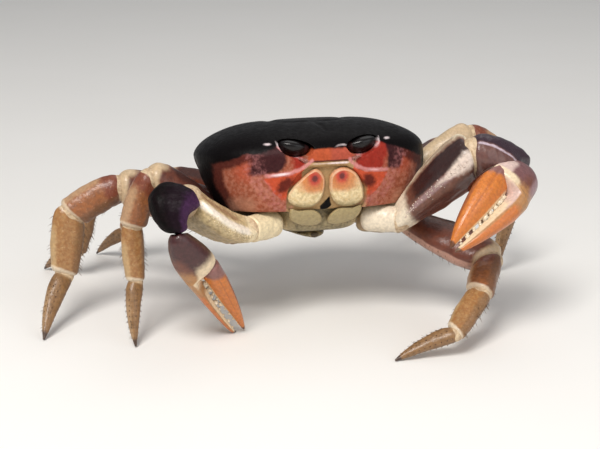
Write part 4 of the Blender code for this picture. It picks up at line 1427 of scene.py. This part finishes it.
ARM_MERUS_FINISH = ShellFinish(
    "arm_merus_shell", srgb(112, 70, 54), srgb(88, 52, 42),
    # lower: painted shade on the face under the ridge; the pale ridge is the ridge's own pale colour brightened into
    # a painted highlight.
    (Tint("lower", srgb(84, 44, 34), 0.8), Tint("dark_face", srgb(44, 22, 21), 0.95),
     Tint("ridge", srgb(160, 130, 130), 0.75, 0.7), Tint("pale_ridge", srgb(226, 208, 194), 0.9, 0.6),
     Tint("cream", srgb(234, 220, 190), 0.95), Tint("seam", srgb(128, 88, 60), 0.6),
     Tint("root", srgb(234, 220, 196), 0.95)), mottle_size=1.8, roughness=0.36, gloss=0.2)
PALE_MERUS_FINISH = ShellFinish(
    "arm_merus_pale_shell", srgb(206, 184, 140), srgb(168, 144, 104),
    # cream: a painted highlight, the bright band along the front of the right merus.
    (Tint("cream", srgb(246, 234, 216), 0.95), Tint("seam", srgb(138, 98, 70), 0.65),
     Tint("root", srgb(232, 214, 176), 0.9)), mottle_size=1.3, mottle_share=0.75, fleck=srgb(134, 110, 78),
    fleck_share=0.35, roughness=0.4, gloss=0.15)
ARM_CARPUS_FINISH = ShellFinish(
    "arm_carpus_shell", srgb(106, 70, 62), srgb(88, 54, 52),
    (Tint("dark_face", srgb(46, 26, 40), 0.95), Tint("ridge", srgb(206, 188, 200), 0.8, 0.9),
     Tint("cream", CREAM, 0.9)), mottle_size=1.8, roughness=0.34, gloss=0.25)
# The right carpus: near-black on its outer side as painted shade, grading through plum to its own purple on the inner
# side.
SHADED_CARPUS_FINISH = ShellFinish(
    "arm_carpus_painted_shade_shell", srgb(12, 8, 8), srgb(24, 13, 16),
    (Tint("plum", srgb(28, 16, 24), 0.9, 0.5), Tint("purple", srgb(76, 46, 80), 0.85, 0.7),
     # lilac: a painted highlight along the carpus's top.
     Tint("lilac", srgb(158, 128, 146), 0.7, 0.7),
     Tint("cream", srgb(204, 174, 138), 0.9)), mottle_size=1.8, roughness=0.45, gloss=0.0, ior=1.16)
PALM_TINTS = (Tint("brown", srgb(116, 68, 52), 0.9, 0.6), Tint("tan", srgb(180, 130, 80), 0.9, 0.6),
              # lilac: painted highlight lines near the palm's outer margin.
              Tint("orange", srgb(198, 110, 44), 0.92, 0.6), Tint("lilac", srgb(168, 138, 144), 0.7),
              Tint("pink", srgb(218, 190, 180), 0.9), Tint("cream", srgb(232, 210, 176), 0.92),
              Tint("tip", srgb(60, 36, 26), 0.85))
PALM_FINISH = ShellFinish("palm_shell", srgb(122, 82, 82), srgb(104, 64, 66), PALM_TINTS, mottle_size=1.6,
                          roughness=0.36, gloss=0.22)
DARK_PALM_FINISH = ShellFinish("palm_dark_shell", srgb(72, 37, 37), srgb(56, 28, 28), PALM_TINTS, mottle_size=1.6,
                               roughness=0.36, gloss=0.2)
FINGER_FINISH = ShellFinish(
    "finger_shell", srgb(206, 120, 46), srgb(190, 102, 40),
    (Tint("brown", srgb(150, 82, 48), 0.75), Tint("plum", srgb(126, 88, 88), 0.9, 0.5),
     Tint("cream", srgb(232, 208, 172), 0.85), Tint("tip", srgb(60, 36, 26), 0.85)),
    mottle_size=1.4, roughness=0.36, gloss=0.22)
GRAIN_FINISHES = {
    "left": ShellFinish("grain_pale", srgb(220, 202, 188), srgb(206, 184, 170), mottle_size=3.0, grain=0.0,
                        bumps=0.0),
    "right": ShellFinish("grain_cream", srgb(222, 204, 168), srgb(206, 184, 146), mottle_size=3.0, grain=0.0,
                         bumps=0.0)}
TOOTH_FINISH = ShellFinish(
    "tooth_horn", srgb(232, 216, 190), srgb(214, 192, 160), roughness=0.3, mottle_size=0.8, grain=0.0, bumps=0.0)

SOCKETS = {"left": 0.36, "right": 0.41}     # where the movable finger's socket lies along the hand
# how far before the socket its pale skin lies, and how far it reaches
SOCKET_SKIN = {"left": (0.0, 0.035), "right": (0.02, 0.1)}
ARM_PLANS = {
    "left": ArmPlan(
        (33.4, 22.6, 44.2), (19.5, -3, -24), (18.7, 126, 5), (28.6, 158, -40), (23, -34), 0.0, 1.0, 1.0, 0.4,
        (0.0, 0.0, 0.9), (0.0, 0.0, 0.8),
        ((0.0, 4.8, 4.4), (0.15, 6.6, 5.8), (0.45, 7.8, 6.9), (0.75, 7.3, 6.5), (0.92, 5.8, 5.4), (1.0, 4.6, 4.4)),
        ((0.0, -3.0, 3.2, 3.0), (0.06, -4.8, 5.6, 4.6), (0.16, -7.6, 7.6, 5.8), (0.26, -9.0, 8.2, 6.0),
         (0.32, -9.3, 8.5, 5.8), (0.375, -7.6, 9.0, 5.4), (0.41, 1.4, 9.2, 5.0), (0.54, 1.9, 9.0, 4.4),
         (0.68, 1.8, 7.8, 3.6), (0.84, 1.2, 5.5, 2.6), (0.95, 0.7, 3.1, 1.3), (1.0, 0.4, 1.3, 0.4)),
        ((0.27, 0.2, 8.5, 4.4), (0.36, -0.6, 9.4, 4.8), (0.54, -1.2, 8.7, 4.4), (0.68, -1.1, 7.4, 3.6),
         (0.84, -0.5, 5.2, 2.6), (0.95, 0.1, 2.7, 1.2), (1.0, 0.3, 1.2, 0.4)),
        (ARM_MERUS_FINISH, ARM_CARPUS_FINISH, PALM_FINISH, FINGER_FINISH)),
    "right": ArmPlan(
        (26.2, 17.2, 29.2), (13.0, 66, -34), (19.0, -145, -60), (31.0, -141, -54), (-4, -29), 70.0, 0.95, 0.8, 2.3,
        (0.0, -0.6, -2.6), (-3.6, 0.0, 2.4),
        ((0.0, 5.2, 5.0), (0.12, 7.0, 6.6), (0.32, 8.0, 7.3), (0.52, 7.5, 6.8), (0.72, 6.2, 5.6), (0.88, 4.7, 4.3),
         (1.0, 3.6, 3.4)),
        ((0.0, -2.4, 3.0, 2.9), (0.06, -3.9, 4.8, 4.1), (0.16, -6.0, 6.6, 5.2), (0.28, -8.0, 7.5, 5.8),
         (0.36, -8.6, 7.2, 5.6), (0.40, -6.8, 7.0, 5.2), (0.43, 0.5, 6.8, 4.8), (0.54, 0.9, 5.9, 4.0),
         (0.68, 1.1, 4.9, 3.2), (0.84, 0.9, 3.6, 2.2), (0.95, 0.5, 2.3, 1.2), (1.0, 0.3, 1.1, 0.4)),
        ((0.36, 0.5, 7.8, 4.3), (0.42, 0.2, 8.6, 4.6), (0.54, -0.3, 8.2, 4.2), (0.68, -0.3, 7.0, 3.4),
         (0.84, 0.0, 4.8, 2.4), (0.95, 0.2, 2.5, 1.2), (1.0, 0.3, 1.2, 0.4)),
        (PALE_MERUS_FINISH, SHADED_CARPUS_FINISH, DARK_PALM_FINISH, FINGER_FINISH)),
}


@dataclass(frozen=True)
class Hand:
    """The palm, its fixed finger and the movable finger, along one bowed centre line."""

    plan: ArmPlan
    side: int
    elbow: Array
    wrist: Array

    def surface(self, share: Array, low: Array, high: Array, wide: Array, angle: Array, proud: float = 0.0,
                clear: float = CLEAR) -> Array:
        """Points of the hand between two edges, kept on the hand's side of the wrist's plane.

        Args:
            share: Shares along the hand, as a column.
            low: The edge towards the movable finger's side.
            high: The edge towards the fixed finger's side.
            wide: The half-thickness.
            angle: Angles round the section, as a row; 0 is the high edge.
            proud: How far above the surface.
            clear: How far from the wrist's plane the points stay.

        Returns:
            The points.
        """
        knuckle = self.wrist + self.plan.palm[0] * heading(self.side, *self.plan.palm[1:])
        tip = knuckle + self.plan.fingers[0] * heading(self.side, *self.plan.fingers[1:])
        edge = heading(self.side, *self.plan.edge)
        s = share[..., None]
        point = self.wrist * (1 - s) ** 2 + knuckle * (2 * s * (1 - s)) + tip * s ** 2
        travel = unit((knuckle - self.wrist) * (1 - s) + (tip - knuckle) * s)
        down = unit(edge - travel * (travel @ edge)[..., None])
        side_way = np.cross(travel, down)
        reach = 0.5 * (low + high) + (0.5 * (high - low) + proud) * np.cos(angle)
        thick = (wide + proud) * np.sign(np.sin(angle)) * np.abs(np.sin(angle)) ** 0.85
        made = point + self.plan.size * (down * reach[..., None] + side_way * thick[..., None])
        joint = unit(unit(self.wrist - self.elbow) + unit(knuckle - self.wrist))
        short = np.maximum(clear - (made - self.wrist) @ joint, 0.0)
        made = made + travel * (short / (travel @ joint))[..., None]
        made[..., 2] = np.maximum(made[..., 2], CLAW_FLOOR)
        return made

    def palm(self, share: Array, angle: Array, proud: float = 0.0) -> Array:
        """Points of the palm and its fixed finger."""
        low, high, wide = curve_through(self.plan.palm_stations, share)
        dome = np.sqrt(1.0 - 0.6 * (1.0 - np.clip(share / 0.05, 0.0, 1.0)) ** 2) * self.blunt(share, 0.02)
        middle = 0.5 * (low + high)
        wide = wide * (1.0 - 0.35 * smooth(0.38, 0.5, share) * smooth(0.1, -1.0, np.cos(angle)))
        return self.surface(share, middle + (low - middle) * dome, middle + (high - middle) * dome, wide * dome,
                            angle, proud)

    @staticmethod
    def groove(share: Array, angle: Array) -> Array:
        """1 in the long grooves of a finger's two faces."""
        return hill(np.cos(angle) + 0.30 - 0.25 * share, 0.13) * smooth(0.04, 0.2, share) * smooth(0.9, 0.6, share)

    @staticmethod
    def blunt(share: Array, last: float) -> Array:
        """How a tip rounds off over its last stretch."""
        return np.sqrt(1.0 - 0.9 * (1.0 - np.clip((1.0 - share) / last, 0.0, 1.0)) ** 2)

    def finger(self, share: Array, angle: Array, proud: float = 0.0) -> Array:
        """Points of the movable finger; share runs from 0 at its base to 1 at its tip."""
        start = self.plan.finger_stations[0][0]
        place = start + (1.0 - start) * share
        low, high, wide = curve_through(self.plan.finger_stations, place)
        clear = self.plan.gape * share
        dome = np.sqrt(1.0 - 0.95 * (1.0 - np.clip(share / 0.10, 0.0, 1.0)) ** 2) * self.blunt(share, 0.03)
        inner, outer = -low - clear, -high - clear
        middle = 0.5 * (inner + outer)
        wide = wide * (1.0 - 0.35 * smooth(-0.1, 1.0, np.cos(angle)))
        wide = wide * (1.0 - 0.07 * self.groove(share, angle))
        return self.surface(place, middle + (outer - middle) * dome, middle + (inner - middle) * dome, wide * dome,
                            angle, proud, FINGER_CLEAR)


@dataclass(frozen=True)
class ClawArm:
    """A claw arm: root, merus, carpus and hand."""

    side_name: str

    def joints(self) -> list[Array]:
        """The base, elbow, wrist and knuckle."""
        plan, side = ARM_PLANS[self.side_name], SIDES[self.side_name]
        points = [mirrored(ARM_BASE, side)]
        for length, bearing, slope in (plan.merus, plan.carpus, plan.palm):
            points.append(points[-1] + length * heading(side, bearing, slope))
        return points

    def merus_masks(self, share: Array, angle: Array, out: Array) -> dict[str, Array]:
        """How the merus is coloured along its length and round its section."""
        degrees = (np.degrees(angle) + 180.0) % 360.0 - 180.0
        whole = np.ones_like(share)
        root = smooth(0.30, 0.10, share) * np.ones_like(angle)
        if self.side_name == "right":
            # Painted highlight: the bright cream band along the front of the right merus.
            facing = -out[..., 1] * whole
            rising = out[..., 2] * whole
            return {"cream": hill(rising - 0.22, 0.27) * smooth(0.2, 0.6, facing),
                    "seam": hill(rising - 0.72, 0.16) * smooth(0.25, 0.45, share), "root": root}
        # On the left merus the pale ridge is its own pale colour brightened into a painted highlight, and the face
        # below it is painted shade.
        ridge = hill(degrees - 88.0, 6.0 + 6.0 * share)
        return {"ridge": ridge * smooth(0.08, 0.3, share),
                "pale_ridge": hill(degrees - 86.0, 7.0 + 15.0 * smooth(0.6, 0.97, share)) * smooth(0.35, 0.8, share),
                "lower": smooth(108.0, 130.0, degrees) * whole,
                "dark_face": smooth(2.0, 18.0, degrees) * smooth(86.0, 70.0, degrees) * smooth(0.16, 0.42, share)
                * smooth(0.985, 0.93, share),
                "cream": np.maximum(hill(degrees + 28.0, 32.0) * whole, smooth(0.95, 0.985, share)
                                    * smooth(-60.0, 20.0, degrees)),
                "seam": hill(degrees + 6.0, 5.0) * smooth(0.3, 0.5, share) * smooth(0.95, 0.8, share), "root": root}

    def carpus_masks(self, share: Array, angle: Array, out: Array) -> dict[str, Array]:
        """How the carpus is coloured along its length and round its section."""
        whole = np.ones_like(share)
        inward = -SIDES[self.side_name] * out[..., 0] * whole
        rising = out[..., 2] * whole
        if self.side_name == "right":
            # Painted shade: near-black on the outer side, grading through plum to purple on the inner side.
            return {"plum": smooth(-0.9, 0.9, inward + 0.3 * rising),
                    "purple": smooth(0.2, 1.15, inward + 0.2 * rising),
                    # Painted highlight along the top.
                    "lilac": hill(rising - 0.9, 0.10) * smooth(-0.2, 0.4, inward) * smooth(0.5, 0.2, share),
                    "cream": smooth(0.15, 0.04, share) * smooth(-0.6, 0.1, rising + inward)}
        facing = -out[..., 1] * whole
        crest = 0.72 - 0.25 * share
        return {"dark_face": smooth(crest - 0.02, crest + 0.14, rising) * smooth(0.04, 0.12, share),
                "ridge": 0.85 * hill(rising - crest + 0.02, 0.055) * smooth(0.0, 0.3, facing)
                * smooth(0.05, 0.15, share),
                "cream": smooth(0.07, 0.02, share) * np.ones_like(angle)}

    def build(self, planter: Planter) -> None:
        """Make the arm's pieces."""
        name, side, plan = self.side_name, SIDES[self.side_name], ARM_PLANS[self.side_name]
        points = self.joints()
        root = mirrored(ARM_ROOT, side)
        normal = side * unit(np.cross(points[1] - points[0], np.array((0.0, 0.0, 1.0))))
        shapes = {"merus": ARM_MERUS, "carpus": plan.carpus_stations}
        parts = chain_segments(points, root, normal, shapes, plan.stout, Outline.THREE_EDGED, side * plan.roll)
        parts["carpus"].outline = Outline.ROUNDED if self.side_name == "left" else Outline.THREE_EDGED
        parts["carpus"].bow = np.array(plan.bow)
        parts["merus"].bow = np.array(plan.merus_bow)
        coxa = root_segment(root, points[0], *ARM_ROOT_SIZE, 1.0)
        merus_finish, carpus_finish, palm_finish, finger_finish = plan.finishes
        add_piece(f"arm_{name}_coxa_shell", coxa.shape(44, 48, lambda s, a, o: {"root": np.ones((s.size, a.size))}),
                  merus_finish, (f"arm_{name}_merus",))
        for kind, finish, rule in (("merus", merus_finish, self.merus_masks),
                                   ("carpus", carpus_finish, self.carpus_masks)):
            add_piece(f"arm_{name}_{kind}_shell", parts[kind].shape(*ARM_NET, rule), finish,
                      (f"arm_{name}_{kind}",))
        self.grain_edges(parts, planter)
        knees = [coxa.knee(parts["merus"]), parts["merus"].knee(parts["carpus"])]
        add_piece(f"arm_{name}_joint_skin", Shape.joined(knees), KNEE_FINISH)
        self.build_hand(Hand(plan, side, points[1], points[2]), planter, palm_finish, finger_finish)

    def grain_edges(self, parts: dict[str, Segment], planter: Planter) -> None:
        """Scatter small grains along the edges of the merus."""
        feet, ways = [], []
        draw = np.random.default_rng(GRAIN_DRAW)
        edges = (-28.0, 88.0, 210.0) if self.side_name == "left" else (-28.0, 210.0)
        for degrees in edges:
            foot, way = parts["merus"].strewn(draw, 90, degrees, 5.0)
            feet.append(foot)
            ways.append(way)
        sizes = draw.uniform(0.45, 1.0, sum(len(rows) for rows in feet))
        planter.plant(f"arm_{self.side_name}_grains", Stud.GRANULE, np.concatenate(feet), np.concatenate(ways), sizes,
                      GRAIN_FINISHES[self.side_name], "arm_purple", GRAIN_SEED)

    def build_hand(self, hand: Hand, planter: Planter, palm_finish: ShellFinish, finger_finish: ShellFinish) -> None:
        """Make the palm, the two fingers and their teeth."""
        name = self.side_name
        angle = angles_round(HAND_SIDES)[None]
        share = np.linspace(0.0, 1.0, 180)[:, None]
        margin = np.cos(angle) * np.ones_like(share)
        socket = SOCKETS[name]
        finger = smooth(socket + 0.06, socket + 0.24, share)
        shift, spread = SOCKET_SKIN[name]
        pink = smooth(-0.02, -0.45, margin) * (name == "left")
        # Painted highlight lines near the left palm's outer margin.
        lilac = hill(margin - 0.82, 0.2) * smooth(0.5, 0.2, share) * (name == "left")
        palm = tube_shape(hand.palm(share, angle), {
            "lilac": lilac * np.ones_like(margin),
            "brown": smooth(-0.2, 0.8, margin) * smooth(0.08, 0.3, share) * smooth(0.8, 0.4, share),
            "tan": smooth(0.26, 0.46, share + 0.06 * margin),
            "orange": finger * smooth(-0.35, 0.1, margin),
            "pink": pink * smooth(0.14, 0.24, share) * smooth(0.75, 0.45, share),
            "cream": np.maximum(finger * smooth(-0.15, -0.6, margin),
                                hill(share - socket + shift, spread) * smooth(0.5, -0.1, margin)),
            "tip": smooth(0.955, 0.985, share) * np.ones_like(angle)})
        add_piece(f"claw_{name}_palm_shell", palm, palm_finish, (f"claw_{name}_palm",))
        share = np.linspace(0.0, 1.0, 130)[:, None]
        inward = np.cos(angle) * np.ones_like(share)
        moving = tube_shape(hand.finger(share, angle), {
            "brown": np.maximum(smooth(-0.75, -0.98, inward) * smooth(0.95, 0.7, share),
                                0.55 * hand.groove(share, angle)),
            "plum": smooth(0.26, 0.12, share + 0.05 * inward),
            "cream": smooth(0.72, 0.97, inward) * smooth(0.1, 0.3, share),
            "tip": smooth(0.93, 0.975, share) * np.ones_like(angle)})
        add_piece(f"claw_{name}_finger_shell", moving, finger_finish, (f"claw_{name}_finger",))
        feet, ways, sizes = [], [], []
        for surface, places, angle_in in ((hand.palm, np.linspace(0.47, 0.94, 9), math.pi),
                                          (hand.finger, np.linspace(0.27, 0.9, 9), 0.0)):
            column, row = places[:, None], np.array([[angle_in]])
            foot, inside = surface(column, row, -0.1)[:, 0], surface(column, row, -1.2)[:, 0]
            feet.append(foot)
            ways.append(unit(foot - inside))
            sizes.append(np.where(np.arange(len(places)) % 3 == 1, 1.7, 1.25) * np.linspace(1.15, 0.55, len(places))
                         * hand.plan.size)
        planter.plant(f"claw_{name}_teeth", Stud.TOOTH, np.concatenate(feet), np.concatenate(ways),
                      np.concatenate(sizes), TOOTH_FINISH, "arm_purple", TOOTH_SEED)


# ---- the studio ----------------------------------------------------------------------------------


def way_towards(azimuth: float, elevation: float) -> Vector:
    """The unit vector from the crab towards a place, from its azimuth and elevation in degrees."""
    a, e = math.radians(azimuth), math.radians(elevation)
    return Vector((math.sin(a) * math.cos(e), -math.cos(a) * math.cos(e), math.sin(e)))


@dataclass(frozen=True)
class Lamp:
    """A soft square light, placed by its direction from the crab."""

    name: str
    azimuth: float
    elevation: float
    distance: float
    size: float
    power: float
    colour: Colour

    def build(self, target: Vector) -> None:
        """Add the light, facing the crab."""
        light = bpy.data.lights.new(self.name, "AREA")
        light.size, light.energy, light.color = self.size, self.power, self.colour
        item = bpy.data.objects.new(self.name, light)
        way = way_towards(self.azimuth, self.elevation)
        item.location = target + way * self.distance
        item.rotation_euler = way.to_track_quat("Z", "Y").to_euler()
        bpy.context.scene.collection.objects.link(item)


@dataclass(frozen=True)
class Studio:
    """The floor, the lights and the camera."""

    azimuth: float = -13.0
    elevation: float = 15.0
    distance: float = 0.5
    lens: float = 87.0
    sensor: float = 36.0
    clip_start: float = 0.01
    turn: float = 0.33                      # how far the camera's axis is turned from the middle of the body
    raise_axis: float = 2.07
    floor_size: float = 8.0
    sky: tuple[float, float, float, float] = (0.92, 0.94, 0.97, 1.0)
    sky_strength: float = 0.32
    lamps: tuple[Lamp, ...] = (
        Lamp("key", -32.0, 52.0, 0.9, 0.36, 7.2, (1.0, 0.97, 0.93)),
        Lamp("fill", 35.0, 24.0, 1.0, 0.8, 2.6, (0.96, 0.98, 1.0)),
        Lamp("rear", 150.0, 58.0, 1.0, 0.6, 1.1, (1.0, 0.99, 0.97)))

    def build(self) -> None:
        """Make the studio round the crab."""
        middle = Vector(STAND.to_part(Stand.CENTRE))
        scene = bpy.context.scene
        bpy.ops.mesh.primitive_plane_add(size=self.floor_size)
        floor = bpy.context.active_object
        floor.name = "studio_floor"
        floor.data.materials.append(FloorFinish().material())
        world = bpy.data.worlds.new("studio_world")
        world.use_nodes = True
        background = world.node_tree.nodes["Background"]
        background.inputs["Color"].default_value = self.sky
        background.inputs["Strength"].default_value = self.sky_strength
        scene.world = world
        scene.view_settings.view_transform = "Standard"
        for lamp in self.lamps:
            lamp.build(middle)
        axis = way_towards(self.azimuth + self.turn, self.elevation + self.raise_axis)
        camera = bpy.data.cameras.new("camera")
        camera.lens, camera.sensor_width = self.lens, self.sensor
        camera.clip_start = self.clip_start
        item = bpy.data.objects.new("camera", camera)
        item.location = middle + way_towards(self.azimuth, self.elevation) * self.distance
        item.rotation_euler = axis.to_track_quat("Z", "Y").to_euler()
        scene.collection.objects.link(item)
        scene.camera = item


def build_legs(planter: Planter, legs: Sequence[WalkingLeg]) -> None:
    """Build the walking legs and plant their spines and bristles."""
    grown = [leg.build() for leg in legs]
    for name, stud, finish in (("leg_dactyl_spines", Stud.SPINE, SPINE_FINISH),
                               ("leg_bristles", Stud.BRISTLE, BRISTLE_FINISH)):
        feet, ways, sizes = (np.concatenate([leg[stud][part] for leg in grown]) for part in range(3))
        planter.plant(name, stud, feet, ways, sizes, finish, "leg_tan", LEG_STUD_SEED)


def main() -> None:
    """Build the crab and its studio."""
    logging.basicConfig(level=logging.INFO, format="%(name)s: %(message)s")
    planter = Planter()
    body = Body()
    body.build()
    Face(body).build()
    for side_name in SIDES:
        ClawArm(side_name).build(planter)
    build_legs(planter, [WalkingLeg(side_name, number) for side_name in SIDES for number in LEG_PLANS])
    Studio().build()


if __name__ == "__main__":
    main()
